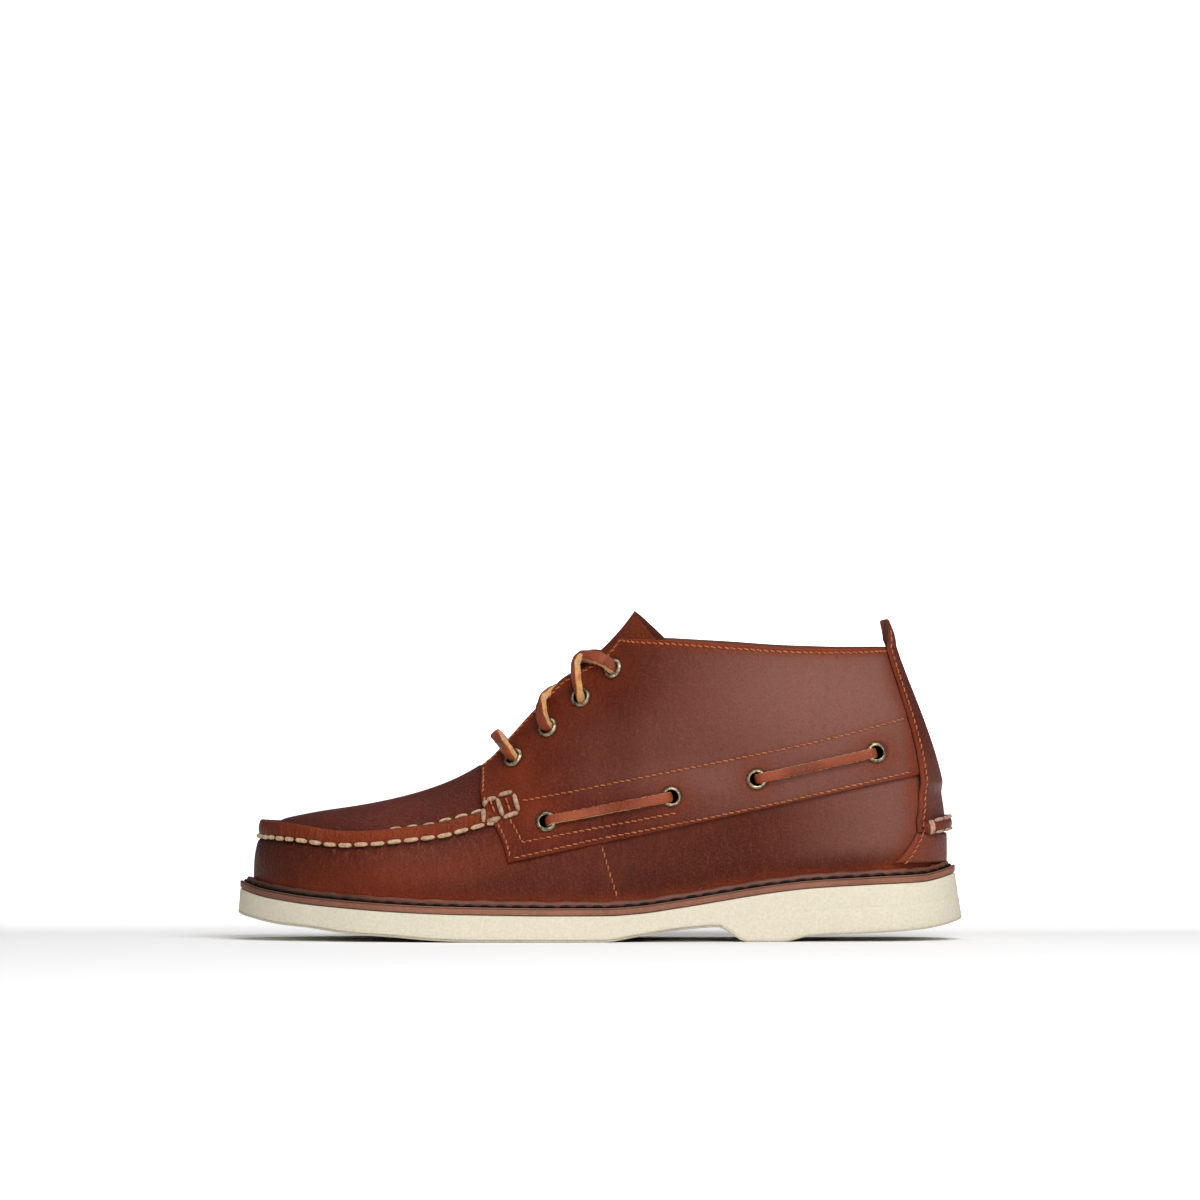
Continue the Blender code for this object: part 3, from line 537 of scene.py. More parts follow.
class Surface:
    """Ray target made of finished pieces, with places given in the side view."""

    def __init__(self, *objects):
        points, faces = [], []
        for obj in objects:
            first = len(points)
            points += [v.co * 1000 for v in obj.data.vertices]
            faces += [[first + i for i in f.vertices] for f in obj.data.polygons]
        self.tree = BVHTree.FromPolygons(points, faces)

    def side(self, x, z, side):
        spot, out, _, _ = self.tree.ray_cast(Vector((x, side * 200, z)), Vector((0, -side, 0)))
        if spot is None:
            return None
        out = out if out.y * side > 0 else -out
        return np.array(spot), np.array(out)

    def along(self, start, direction):
        spot, out, _, _ = self.tree.ray_cast(Vector(start), Vector(direction))
        return (None, None) if spot is None else (np.array(spot), np.array(out))

    def nearest(self, point):
        spot, out, _, _ = self.tree.find_nearest(Vector(point))
        return np.array(spot), np.array(out)


# The side view, 1200 wide: the boot's middle, the floor, and millimetres in one of its steps
MIDDLE_PX, FLOOR_PX, PX_MM = 600, 941, 0.4144


def view_px(*pairs):
    """Places measured in the side view, as x and z in millimetres."""
    data = np.array(pairs, float)
    return np.stack([(data[:, 0] - MIDDLE_PX) * PX_MM, (FLOOR_PX - data[:, 1]) * PX_MM], -1)


# Camera, light and floor

scene = bpy.context.scene
scene.view_settings.view_transform = "Standard"
scene.view_settings.look = "None"
# The camera, in metres and degrees: how wide it sees at the boot, how far off and high it is
VIEW_WIDTH, CAMERA_FAR, CAMERA_HIGH, CAMERA_RISE = 0.4973, 12.0, 0.1406, 0.9
SENSOR = 36
WORLD_STRENGTH = 0.16
# Soft lamps: name, place, what it points at, its two sides in metres, and its power in watts
LIGHTS = (
    ("key", (0.65, -1.35, 1.55), (0.02, 0, 0.06), (1.5, 0.9), 32),
    ("front", (0.5, -2.4, 0.6), (0.04, 0, 0.07), (0.9, 0.5), 15),
    ("top", (0.1, 0.35, 1.5), (0, 0, 0.05), (1.2, 0.6), 7),
    ("left", (-1.7, -0.6, 0.7), (-0.05, 0, 0.05), (0.5, 0.9), 3),
)
# Half widths, depths and heights of the floor and of the backdrop behind it, in metres
FLOOR_HALF, FLOOR_BACK = 6, 4.2
BACKDROP_HALF, BACKDROP_AT, BACKDROP_LOW, BACKDROP_HIGH = 0.9, 4.1, -0.02, 1.3


def look_at(obj, target):
    obj.rotation_euler = (Vector(target) - obj.location).to_track_quat("-Z", "Y").to_euler()


def add_camera():
    camera = bpy.data.objects.new("camera", bpy.data.cameras.new("camera"))
    scene.collection.objects.link(camera)
    rise = math.radians(CAMERA_RISE)
    camera.location = (0, -CAMERA_FAR * math.cos(rise), CAMERA_HIGH + CAMERA_FAR * math.sin(rise))
    camera.data.sensor_width = SENSOR
    camera.data.lens = SENSOR * CAMERA_FAR / VIEW_WIDTH
    camera.data.clip_start, camera.data.clip_end = 0.1, 60
    look_at(camera, (0, 0, CAMERA_HIGH))
    scene.camera = camera


def add_light(name, place, target, size, power):
    light = bpy.data.lights.new(name, "AREA")
    light.shape = "RECTANGLE"
    light.size, light.size_y = size
    light.energy = power
    obj = bpy.data.objects.new(name, light)
    scene.collection.objects.link(obj)
    obj.location = place
    look_at(obj, target)


def add_stage():
    world = bpy.data.worlds.new("studio")
    scene.world = world
    world.use_nodes = True
    background = world.node_tree.nodes["Background"]
    background.inputs["Color"].default_value = (1, 1, 1, 1)
    background.inputs["Strength"].default_value = WORLD_STRENGTH
    for row in LIGHTS:
        add_light(*row)
    half, back = FLOOR_HALF, FLOOR_BACK
    add_sheet("floor", [(-half, -half, 0), (half, -half, 0), (half, back, 0), (-half, back, 0)], floor_look())
    wall = Shader("backdrop_white", (0.9, 0.9, 0.9), 1.0)
    wall.set("Emission Color", (1, 1, 1, 1))
    wall.set("Emission Strength", 1.05)
    half, at, low, high = BACKDROP_HALF, BACKDROP_AT, BACKDROP_LOW, BACKDROP_HIGH
    corners = [(-half, at, low), (half, at, low), (half, at, high), (-half, at, high)]
    add_sheet("backdrop", corners, wall.material).visible_glossy = False


def add_sheet(name, points, look):
    mesh = bpy.data.meshes.new(name)
    mesh.from_pydata(points, [], [(0, 1, 2, 3)])
    mesh.materials.append(look)
    obj = bpy.data.objects.new(name, mesh)
    scene.collection.objects.link(obj)
    return obj


# Materials


def linear(r, g, b):
    """A shader colour from eight-bit screen values."""
    share = [v / 255 for v in (r, g, b)]
    return tuple(v / 12.92 if v <= 0.04045 else ((v + 0.055) / 1.055) ** 2.4 for v in share)


class Shader:
    """Builds one node material on a Principled shader."""

    def __init__(self, name, colour, rough, metal=0.0):
        self.material = bpy.data.materials.new(name)
        self.material.use_nodes = True
        self.nodes = self.material.node_tree.nodes
        self.links = self.material.node_tree.links
        self.shader = self.nodes["Principled BSDF"]
        self.set("Base Color", (*colour, 1))
        self.set("Roughness", rough)
        self.set("Metallic", metal)
        self.place = self.nodes.new("ShaderNodeTexCoord").outputs["Object"]

    def set(self, socket, value):
        self.shader.inputs[socket].default_value = value

    def join(self, value, socket):
        if isinstance(value, bpy.types.NodeSocket):
            self.links.new(value, socket)
        elif isinstance(value, tuple) and len(value) == 3 and socket.type == "RGBA":
            socket.default_value = (*value, 1)
        else:
            socket.default_value = value

    def stretched(self, scale):
        node = self.nodes.new("ShaderNodeMapping")
        node.inputs["Scale"].default_value = scale
        self.links.new(self.place, node.inputs["Vector"])
        return node.outputs["Vector"]

    def noise(self, scale, detail=3.0, rough=0.55, stretch=None, twist=0.0):
        node = self.nodes.new("ShaderNodeTexNoise")
        self.links.new(self.stretched(stretch) if stretch else self.place, node.inputs["Vector"])
        node.inputs["Scale"].default_value = scale
        node.inputs["Detail"].default_value = detail
        node.inputs["Roughness"].default_value = rough
        node.inputs["Distortion"].default_value = twist
        return node.outputs["Fac"]

    def cells(self, scale):
        node = self.nodes.new("ShaderNodeTexVoronoi")
        node.feature = "SMOOTH_F1"
        self.links.new(self.place, node.inputs["Vector"])
        node.inputs["Scale"].default_value = scale
        return node.outputs["Distance"]

    def attribute(self, name):
        node = self.nodes.new("ShaderNodeAttribute")
        node.attribute_name = name
        return node.outputs["Fac"]

    def span(self, value, low, high, to_low=0.0, to_high=1.0):
        node = self.nodes.new("ShaderNodeMapRange")
        node.clamp = True
        self.join(value, node.inputs["Value"])
        for key, number in zip(("From Min", "From Max", "To Min", "To Max"), (low, high, to_low, to_high)):
            node.inputs[key].default_value = number
        return node.outputs["Result"]

    def maths(self, operation, a, b=0.0):
        node = self.nodes.new("ShaderNodeMath")
        node.operation = operation
        self.join(a, node.inputs[0])
        self.join(b, node.inputs[1])
        return node.outputs["Value"]

    def mix(self, share, a, b):
        node = self.nodes.new("ShaderNodeMix")
        node.data_type = "RGBA"
        self.join(share, node.inputs[0])
        self.join(a, node.inputs[6])
        self.join(b, node.inputs[7])
        return node.outputs[2]

    def colour(self, value):
        self.join(value, self.shader.inputs["Base Color"])

    def rough(self, value):
        self.join(value, self.shader.inputs["Roughness"])

    def bump(self, height, depth, strength=1.0):
        node = self.nodes.new("ShaderNodeBump")
        node.inputs["Distance"].default_value = depth
        node.inputs["Strength"].default_value = strength
        self.join(height, node.inputs["Height"])
        self.links.new(node.outputs["Normal"], self.shader.inputs["Normal"])


def leather(name, body, dark, glow, rough=0.4):
    """Pull-up leather: deep where it lies flat, a red glow at edges, and a painted pale sheen (a painted highlight of
    the lamps' reflection) in its middle.
    """
    s = Shader(name, body, rough)
    clouds = s.noise(14, 4, 0.6)
    patches = s.noise(55, 3, 0.6)
    specks = s.noise(1400, 3, 0.75)
    pebbles = s.cells(900)
    streaks = s.noise(640, 3, 0.65, stretch=(1, 1, 0.28), twist=0.5)
    colour = s.mix(s.span(clouds, 0.36, 0.64), body, dark)
    colour = s.mix(s.maths("MULTIPLY", s.span(patches, 0.5, 0.75), 0.22), colour, glow)
    # Painted sheen: the colour turns pale where the sheen attribute is high, a painted highlight in place of the
    # lamps' broad reflection
    colour = s.mix(s.attribute("bloom"), colour, PAINTED_SHEEN_COLOUR)
    lit = s.maths("MULTIPLY", s.attribute("glow"), s.span(patches, 0.25, 0.6, 0.5, 1.0))
    colour = s.mix(lit, colour, glow)
    shade = s.maths("MULTIPLY", s.attribute("shade"), s.span(clouds, 0.2, 0.7, 0.75, 1.0))
    colour = s.mix(shade, colour, s.mix(0.55, dark, (0.010, 0.005, 0.004)))
    colour = s.mix(s.span(specks, 0.53, 0.66, 0.0, 0.24), colour, linear(146, 84, 62))
    colour = s.mix(s.span(specks, 0.47, 0.33, 0.0, 0.28), colour, dark)
    colour = s.mix(s.span(pebbles, 0.55, 0.95, 0.0, 0.22), colour, dark)
    lines = s.maths("MULTIPLY", s.attribute("grain"), s.span(streaks, 0.52, 0.66, 0.0, 0.5))
    colour = s.mix(lines, colour, linear(134, 70, 54))
    s.colour(colour)
    s.rough(s.span(s.noise(90, 3, 0.6), 0.3, 0.7, rough - 0.05, rough + 0.1))
    fine = s.maths("MULTIPLY", pebbles, 0.9)
    pores = s.maths("MULTIPLY", s.span(s.noise(1500, 2, 0.5), 0.3, 0.7), 0.4)
    soft = s.maths("MULTIPLY", s.noise(130, 3, 0.55), 1.5)
    runs = s.maths("MULTIPLY", s.attribute("grain"), s.span(streaks, 0.3, 0.75, 0.0, 3.0))
    height = s.maths("ADD", s.maths("ADD", fine, pores), s.maths("ADD", soft, runs))
    s.bump(height, 0.0003, 0.8)
    s.set("Specular IOR Level", 0.14)
    s.set("Specular Tint", (1.0, 0.6, 0.46, 1))
    return s.material


def floor_look():
    """White paper that is lit more strongly well behind and well before the boot."""
    s = Shader("floor_white", (0.97, 0.97, 0.97), 0.9)
    split = s.nodes.new("ShaderNodeSeparateXYZ")
    s.links.new(s.place, split.inputs["Vector"])
    s.set("Emission Color", (1, 1, 1, 1))
    behind, ahead = s.span(split.outputs["Y"], 0.10, 0.7), s.span(split.outputs["Y"], -1.5, -2.2)
    middle = s.span(s.maths("ABSOLUTE", split.outputs["X"]), 0.6, 1.3, 1.0, 0.0)
    s.join(s.maths("MULTIPLY", s.maths("ADD", behind, ahead), middle), s.shader.inputs["Emission Strength"])
    return s.material


def foam_look():
    s = Shader("sole_cream", linear(222, 214, 190), 0.72)
    spots = s.noise(900, 3, 0.7)
    patches = s.noise(34, 3, 0.6)
    colour = s.mix(s.span(spots, 0.35, 0.68), linear(218, 210, 190), linear(206, 197, 174))
    colour = s.mix(s.span(patches, 0.5, 0.75, 0.0, 0.08), colour, linear(202, 192, 164))
    colour = s.mix(s.span(s.noise(1600, 2, 0.6), 0.58, 0.72, 0.0, 0.28), colour, linear(196, 186, 160))
    # Painted shade: the sole darkens where its shade attribute is high, near the ground and low at the rear
    painted_sole_shade = s.maths("MULTIPLY", s.attribute("shade"), s.span(spots, 0.3, 0.7, 0.5, 1.0))
    s.colour(s.mix(painted_sole_shade, colour, linear(150, 138, 112)))
    s.rough(s.span(spots, 0.3, 0.7, 0.62, 0.8))
    s.bump(s.maths("ADD", s.noise(1300, 3, 0.7), s.cells(1100)), 0.00012, 0.5)
    return s.material


def matte_leather(name, body, dark, pale, rough=0.62):
    s = Shader(name, body, rough)
    clouds, specks = s.noise(45, 3, 0.6), s.noise(500, 3, 0.7)
    colour = s.mix(s.span(clouds, 0.3, 0.7), body, dark)
    colour = s.mix(s.span(specks, 0.5, 0.75, 0.0, 0.4), colour, pale)
    s.colour(s.mix(s.attribute("shade"), colour, (0.012, 0.008, 0.007)))
    s.rough(s.span(specks, 0.3, 0.7, rough - 0.08, rough + 0.08))
    s.bump(s.maths("ADD", s.noise(900, 3, 0.6), s.noise(160, 3, 0.6)), 0.0002, 0.6)
    s.set("Specular IOR Level", 0.2)
    return s.material


def thread_look(name, pale, deep, rough=0.65, sheen=0.15):
    s = Shader(name, pale, rough)
    s.colour(s.mix(s.span(s.noise(700, 3, 0.6), 0.32, 0.66), pale, deep))
    twist = s.noise(1300, 2, 0.5, stretch=(1, 1, 3))
    s.bump(twist, 0.0003, 0.7)
    s.set("Sheen Weight", sheen)
    s.set("Specular IOR Level", 0.2)
    return s.material


def brass_look():
    s = Shader("brass_patina", linear(128, 116, 92), 0.38, 1.0)
    stains, specks = s.noise(420, 4, 0.65), s.noise(1500, 2, 0.6)
    colour = s.mix(s.span(stains, 0.38, 0.66), linear(192, 174, 140), linear(86, 72, 52))
    colour = s.mix(s.span(specks, 0.60, 0.72), colour, linear(252, 244, 222))
    s.colour(s.mix(s.attribute("shade"), colour, linear(30, 24, 18)))
    s.rough(s.span(stains, 0.3, 0.7, 0.28, 0.5))
    s.bump(s.maths("ADD", stains, specks), 0.0002, 0.5)
    return s.material


def lace_look():
    s = Shader("lace_face", linear(150, 72, 42), 0.45)
    clouds, specks = s.noise(60, 2, 0.5), s.noise(1400, 3, 0.65)
    colour = s.mix(s.span(clouds, 0.36, 0.68), linear(144, 68, 40), linear(112, 48, 28))
    colour = s.mix(s.span(specks, 0.52, 0.72, 0.0, 0.35), colour, linear(190, 118, 84))
    s.colour(colour)
    s.set("Specular IOR Level", 0.2)
    s.rough(s.span(specks, 0.3, 0.7, 0.4, 0.58))
    s.bump(s.maths("ADD", s.noise(650, 3, 0.6), s.cells(900)), 0.00018, 0.6)
    return s.material


def flesh_look():
    s = Shader("lace_flesh", linear(208, 150, 84), 0.85)
    fuzz, dots = s.noise(420, 4, 0.7), s.noise(1500, 3, 0.7)
    colour = s.mix(s.span(fuzz, 0.34, 0.66), linear(216, 160, 92), linear(176, 116, 58))
    s.colour(s.mix(s.span(dots, 0.58, 0.72, 0.0, 0.5), colour, linear(150, 84, 42)))
    s.bump(s.maths("ADD", fuzz, dots), 0.0005, 0.8)
    s.set("Sheen Weight", 0.3)
    return s.material


add_stage()
add_camera()
BODY, DARK, GLOW = linear(88, 31, 20), linear(62, 22, 14), linear(134, 55, 26)
# Colour of the painted sheen: a pale painted highlight where the lamps' reflection falls on the leather
PAINTED_SHEEN_COLOUR = linear(124, 83, 73)
LEATHER = leather("upper_leather", BODY, DARK, GLOW)
CUT_EDGE = matte_leather("cut_edge", linear(84, 44, 30), linear(52, 28, 20), linear(120, 66, 42))
LINING = matte_leather("lining_leather", linear(118, 62, 38), linear(84, 42, 26), linear(146, 88, 58))
TONGUE_LOOK = leather("tongue_leather", linear(110, 48, 28), linear(70, 30, 20), linear(136, 60, 30), 0.5)
STRIP_LOOK = matte_leather("strip_leather", linear(148, 100, 80), linear(126, 82, 64), linear(168, 122, 100))
BEAD_LOOK = matte_leather("bead_leather", linear(126, 76, 60), linear(98, 56, 44), linear(154, 104, 84), 0.45)
FOOTBED = matte_leather("footbed_leather", linear(128, 84, 52), linear(98, 62, 38), linear(150, 104, 70))
FOAM = foam_look()
WHITE = thread_look("white_thread", linear(214, 184, 148), linear(168, 130, 98))
TIE = thread_look("tie_thread", linear(196, 160, 132), linear(140, 104, 84))
ORANGE = thread_look("orange_thread", linear(198, 118, 66), linear(150, 72, 38))
BLACK = thread_look("black_thread", linear(22, 15, 13), linear(9, 6, 5), 0.5, 0.0)
BRASS = brass_look()
LACE = lace_look()
FLESH = flesh_look()


def done(obj, slot, *nodes):
    if nodes:
        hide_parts(*nodes)
    return obj


# The sole, the plate, the bead and the insole

# Angles round one side, from the heel to the toe
STATIONS = np.concatenate([
    np.linspace(0, 30, 40), np.linspace(30, 150, 110)[1:], np.linspace(150, 180, 50)[1:],
])


def ring_at(inset, height, angles):
    """Points round one side of the sole at an inset from its outline, and at a height."""
    spot, _ = outline(angles, inset)
    return np.concatenate([spot, height(spot[:, 0])[:, None]], 1)


def closed_slab(name, rows_of, middle, look, shade=None):
    """A slab whose cross-sections run over the edge from the middle of its top to that of its foot."""
    lateral, medial = (np.stack(rows_of(angles), 1) for angles in (STATIONS, 360 - STATIONS))
    shares = np.linspace(0, 1, middle + 2)[1:-1]
    over_top = medial[:, :1] + (lateral[:, :1] - medial[:, :1]) * shares[None, :, None]
    under = lateral[:, -1:] + (medial[:, -1:] - lateral[:, -1:]) * shares[None, :, None]
    loops = np.concatenate([over_top, lateral, under, medial[:, ::-1]], 1)
    points, faces = sweep(loops, caps=False)
    return merged(mesh_piece(name, points, faces, look, {"shade": shade(points)} if shade else None))


def leather_sheet(name, outer, points, faces, values, look=None):
    """A closed sheet of leather: its face, its lining and its cut edge."""
    looks = [look or LEATHER, LINING, CUT_EDGE]
    obj = mesh_piece(name, points, faces.tolist(), looks, values, sheet_looks(outer, faces))
    return merged(obj, FINE_WELD)


def merged(obj, distance=WELD):
    work = bmesh.new()
    work.from_mesh(obj.data)
    bmesh.ops.remove_doubles(work, verts=work.verts, dist=distance)
    bmesh.ops.recalc_face_normals(work, faces=work.faces)
    work.to_mesh(obj.data)
    work.free()
    return obj


def sole_rows(angles):
    lip = flare(angles)
    rear = (1 + np.cos(np.radians(angles))) / 2
    rows = [ring_at(lip + 0.5, deck, angles), ring_at(lip + 0.1, raised(deck, -0.12), angles)]
    for s in (0.02, 0.1, 0.2, 0.3, 0.4, 0.45, 0.47, 0.49, 0.51, 0.55, 0.65, 0.75, 0.85, 0.93):
        line = 0.22 * np.exp(-(((s - 0.47) / 0.018) ** 2)) * smooth(0.72, 0.8, rear)
        spot, _ = outline(angles, lip * (1 - s) + line)
        z = deck(spot[:, 0]) + (tread(spot[:, 0]) - deck(spot[:, 0])) * s
        rows.append(np.concatenate([spot, z[:, None]], 1))
    for turn in (0.0, 30.0, 60.0, 90.0):
        r = math.radians(turn)
        rise = SOLE_BEVEL * (1 - math.sin(r))
        inset = np.full_like(angles, SOLE_BEVEL * (1 - math.cos(r)))
        rows.append(ring_at(inset, raised(tread, rise), angles))
    return rows


# The plate's section, over its edge: how far in from the edge, and how far below its top
PLATE_TOP = (
    (12, 0), (5.2, 0), (3.4, 0), (2.9, 0.35), (2.3, 0.75), (1.7, 0.35), (1.3, 0.02), (0.45, 0),
    (0.12, 0.14), (0, 0.5),
)
# and under it: how far in, and how far above its foot
PLATE_FOOT = ((0, 2.0), (0.02, 1.2), (0, 0.4), (0.12, 0.1), (0.5, 0), (8, 0))


def plate_rows(angles):
    lip = flare(angles)
    section = [(inset, MIDSOLE_THICK - drop) for inset, drop in PLATE_TOP] + list(PLATE_FOOT)
    return [ring_at(lip + inset, raised(plate_low, rise), angles) for inset, rise in section]


def sole_shade(points):
    # Painted shade: darker near the tread's foot, where the boot meets the floor, and low on the rear
    high = points[:, 2] - tread(points[:, 0])
    ground_shade = 1 - smooth(0.0, 2.4, high)
    rear = smooth(60, 120, points[:, 0])
    return 0.35 * ground_shade + 0.10 * rear * (1 - smooth(0, 9, high))


def plate_shade(points):
    """Dark in the groove of the plate's top, and darker towards the toe."""
    drop = MIDSOLE_THICK - (points[:, 2] - plate_low(points[:, 0]))
    toe = smooth(-80, -150, points[:, 0])
    return np.clip(0.75 * ((drop < 0.9) & (drop > 0.2)) + 0.35 * toe, 0, 1)


def build_bead():
    """The raised welt round the foot of the upper, slightly uneven."""
    angles = np.linspace(0, 360, 720, endpoint=False)
    inner = feather_inset(angles) - GAP
    wave = 0.10 * np.sin(np.radians(angles) * 47) + 0.08 * np.sin(np.radians(angles) * 83 + 1)
    rings, turns = [], np.linspace(0, 180, 11)
    for turn in turns:
        r = math.radians(turn)
        inset = inner - BEAD_WIDTH * 0.5 + math.cos(r) * BEAD_WIDTH * 0.5
        high = BEAD_HEIGHT * (math.sin(r) ** 0.75) * (1 + wave * 0.5) * 0.98
        spot, _ = outline(angles, inset)
        rings.append(np.concatenate([spot, (welt_height(spot[:, 0]) + 0.05 + high)[:, None]], 1))
    rings = np.stack(rings, 1)
    points, faces = sweep(rings, wrap=True)
    shade = np.interp(turns, [0, 25, 60, 150, 180], [0.8, 0.3, 0.0, 0.15, 0.7])
    toe = smooth(-70, -140, rings[..., 0].ravel())
    shade = np.clip(np.tile(shade, len(angles)) + 0.5 * toe, 0, 1)
    return mesh_piece("welt_bead", points, faces, BEAD_LOOK, {"shade": shade})


def build_welt_stitches():
    """Dark stitches that lie in the plate's groove all the way round."""
    heap = Heap()
    angles = np.linspace(0, 360, 2400)
    inset = flare(angles) + 2.25
    spot, _ = outline(angles, inset)
    path = np.concatenate([spot, (welt_height(spot[:, 0]) + 0.42)[:, None]], 1)
    line, _ = resample(path, step=0.6)
    per = 11
    for i in range(len(line) // per):
        piece = line[i * per : i * per + 9].copy()
        piece[:, 2] += 0.30 * np.sin(np.linspace(0, math.pi, 9)) + random.uniform(-0.08, 0.08)
        heap.add(*sweep(thread(piece, np.tile([0, 0, 1.0], (9, 1)), 0.66, 8, 0.8)))
    return heap.piece("welt_stitches", BLACK)


def insole_rows(angles):
    hold = feather_inset(angles) + WALL + INSOLE_CLEAR
    section = ((3, INSOLE_THICK), (0.8, INSOLE_THICK - 0.1), (0.1, INSOLE_THICK - 0.8), (0, 0.4), (0.8, 0))
    return [ring_at(hold + inset, raised(welt_height, GAP + rise), angles) for inset, rise in section]


done(closed_slab("outsole_cream", sole_rows, 10, FOAM, sole_shade), "sole_foam", "outsole")
done(closed_slab("midsole_plate", plate_rows, 6, STRIP_LOOK, plate_shade), "welt_leather", "midsole")
done(build_bead(), "welt_leather", "welt")
done(build_welt_stitches(), "welt_leather")
done(closed_slab("footbed", insole_rows, 6, FOOTBED), "footbed", "insole")


# The upper

# Closer together where the front vamp panel laps the rear one, and round the toe
REAR_US = np.concatenate([
    np.linspace(0, 5.9, 70, endpoint=False), np.linspace(5.9, 7.1, 34, endpoint=False),
    np.linspace(7.1, THROAT_RIB, 34),
])
FRONT_US = np.linspace(THROAT_RIB, TOE_RIB, 201)[1:]
ALL_US = np.concatenate([REAR_US, FRONT_US])
WALL_ROWS, PLUG_ROWS = 28, 28
STITCH_PITCH = 7.0
# The lip's section. up and out: shares of its height and thickness, from the stitches over its top.
LIP_SECTION = (
    (0.06, -0.02), (0.16, -0.14), (0.30, -0.25), (0.46, -0.31), (0.62, -0.32), (0.78, -0.29),
    (0.91, -0.23), (0.98, -0.10), (1.00, 0.10), (0.99, 0.33), (0.90, 0.44), (0.98, 0.55),
    (0.99, 0.74), (0.94, 0.92), (0.80, 1.02), (0.60, 1.04),
)


LIP_TOPS = {}


def lip_share(us):
    return smooth(THROAT_RIB - 0.02, THROAT_RIB + 0.16, us)


def upper_side(side):
    """Outer and inner grids of one side of the upper, with the line of its moccasin seam."""
    cols = Columns(ALL_US, side)
    high = SHAFT_HEIGHT * RIBS.read("seam", ALL_US)
    seam = cols.at_height(high)
    at_seam = arch(ALL_US, seam, side)
    seam_length = cols.length_at(seam[:, None])[:, 0]
    foot = cols.level_at((seam_length + LIP_THICK + PLUG_SINK)[:, None])[:, 0]
    whole = ALL_US >= THROAT_RIB - 0.001
    top = np.where(whole, 1.0, cols.cut())
    rise = unit(at_seam - arch(ALL_US, seam - 0.12, side))
    upright = (0.2 + 0.5 * smooth(-95, -128, at_seam[:, 0]))[:, None]
    rise = unit(rise * (1 - upright) + np.array([0, 0, 1.0]) * upright)
    across = arch(ALL_US, foot, side) - at_seam
    across[:, 2] = 0
    across = unit(across)
    share = lip_share(ALL_US)
    lip = RIBS.read("lip", ALL_US) * share
    run = distances(at_seam)
    scallop = 0.5 + 0.5 * np.cos(2 * math.pi * run / STITCH_PITCH)

    s = np.linspace(0, 1, WALL_ROWS)
    s = 1 - (1 - s) ** 1.25
    wall_t = s[None, :] * seam[:, None]
    wall = arch(ALL_US[:, None], wall_t, side)
    out = normal(ALL_US[:, None], wall_t, side)
    below = (1 - s)[None, :] * seam_length[:, None]
    pull = -0.75 * np.exp(-((below / 1.9) ** 2)) * (0.55 + 0.45 * scallop)[:, None]
    pucker = 0.22 * (scallop - 0.5)[:, None] * np.exp(-(((below - 2.6) / 2.2) ** 2))
    front = share[:, None]
    wall = wall + out * ((pull + pucker) * front)[..., None]

    lip_rows = []
    for up, over in LIP_SECTION:
        wave = 0.16 * (scallop - 0.5) * math.sin(math.pi * min(up, 1))
        shift = (over * LIP_THICK - wave)[:, None] * across * share[:, None]
        lip_rows.append(at_seam + rise * (lip * up)[:, None] + shift)
    lip_rows = np.stack(lip_rows, 1)
    flat_t = seam[:, None] + (foot - seam)[:, None] * np.linspace(0.05, 0.95, len(LIP_SECTION))[None, :]
    flat_rows = arch(ALL_US[:, None], flat_t, side)
    lip_rows = flat_rows * (1 - share)[:, None, None] + lip_rows * share[:, None, None]

    q = np.linspace(0, 1, PLUG_ROWS)
    plug_t = foot[:, None] + (1 - foot)[:, None] * q[None, :]
    fade = np.clip(1 - q[None, :] * 1.6, 0, 1)
    sink = -PLUG_SINK * share[:, None] * fade * fade * (3 - 2 * fade)
    plug = skin(ALL_US[:, None], np.minimum(plug_t, 0.995), side, sink)
    plug[:, -1] = arch(ALL_US, np.ones_like(ALL_US), side)
    outer = np.concatenate([wall, lip_rows, plug], 1)

    levels = np.concatenate([wall_t, flat_t, plug_t], 1)
    rear_levels = levels[np.searchsorted(ALL_US, THROAT_RIB)][None, :] * top[:, None]
    levels = np.where(whole[:, None], levels, rear_levels)
    rear_outer = arch(ALL_US[:, None], rear_levels, side)
    outer = np.where(whole[:, None, None], outer, rear_outer)
    inner_sink = np.concatenate([np.zeros_like(wall_t), np.zeros_like(flat_t), sink], 1)
    inner_sink = np.where(whole[:, None], inner_sink, 0)
    outer, levels = vamp_relief(outer, levels, side)
    inner = skin(ALL_US[:, None], np.minimum(levels, 0.999), side, -WALL + inner_sink)
    inner = np.where(((inner - outer)[..., 2:] > 0) & (levels > 0.8)[..., None], 2 * outer - inner, inner)
    seam_path = at_seam + rise * (0.06 * lip)[:, None] - across * 0.35
    LIP_TOPS[side] = at_seam + rise * (0.99 * lip)[:, None] + across * (0.80 * LIP_THICK)
    return outer, inner, seam_path


def vamp_relief(outer, levels, side):
    """The step where the front vamp panel laps the rear one, and soft creases of the ball."""
    out = normal(ALL_US[:, None], np.minimum(levels, 0.999), side)
    x, z = outer[..., 0], outer[..., 2]
    seam_x = np.interp(z, [17.0, 40.0], [9.4, 2.2])
    ahead = seam_x - x
    step = 0.62 * smooth(-0.25, 0.25, ahead) * (1 - smooth(4, 26, ahead))
    valley = -0.22 * np.exp(-(((ahead - 1.7) / 0.5) ** 2))
    crease = 0.0
    for at, lean, deep in ((-34, 0.5, 0.35), (-22, 0.35, 0.30), (-12, 0.2, 0.22)):
        line = x - at - lean * (z - 28)
        crease = crease - deep * np.exp(-((line / 2.6) ** 2)) * smooth(20, 27, z) * (1 - smooth(40, 52, z))
    low = outer[..., 2] < SHAFT_HEIGHT * 0.42
    lift = np.where(low & (levels < 0.9), step + valley + crease, 0.0)
    return outer + out * lift[..., None], levels


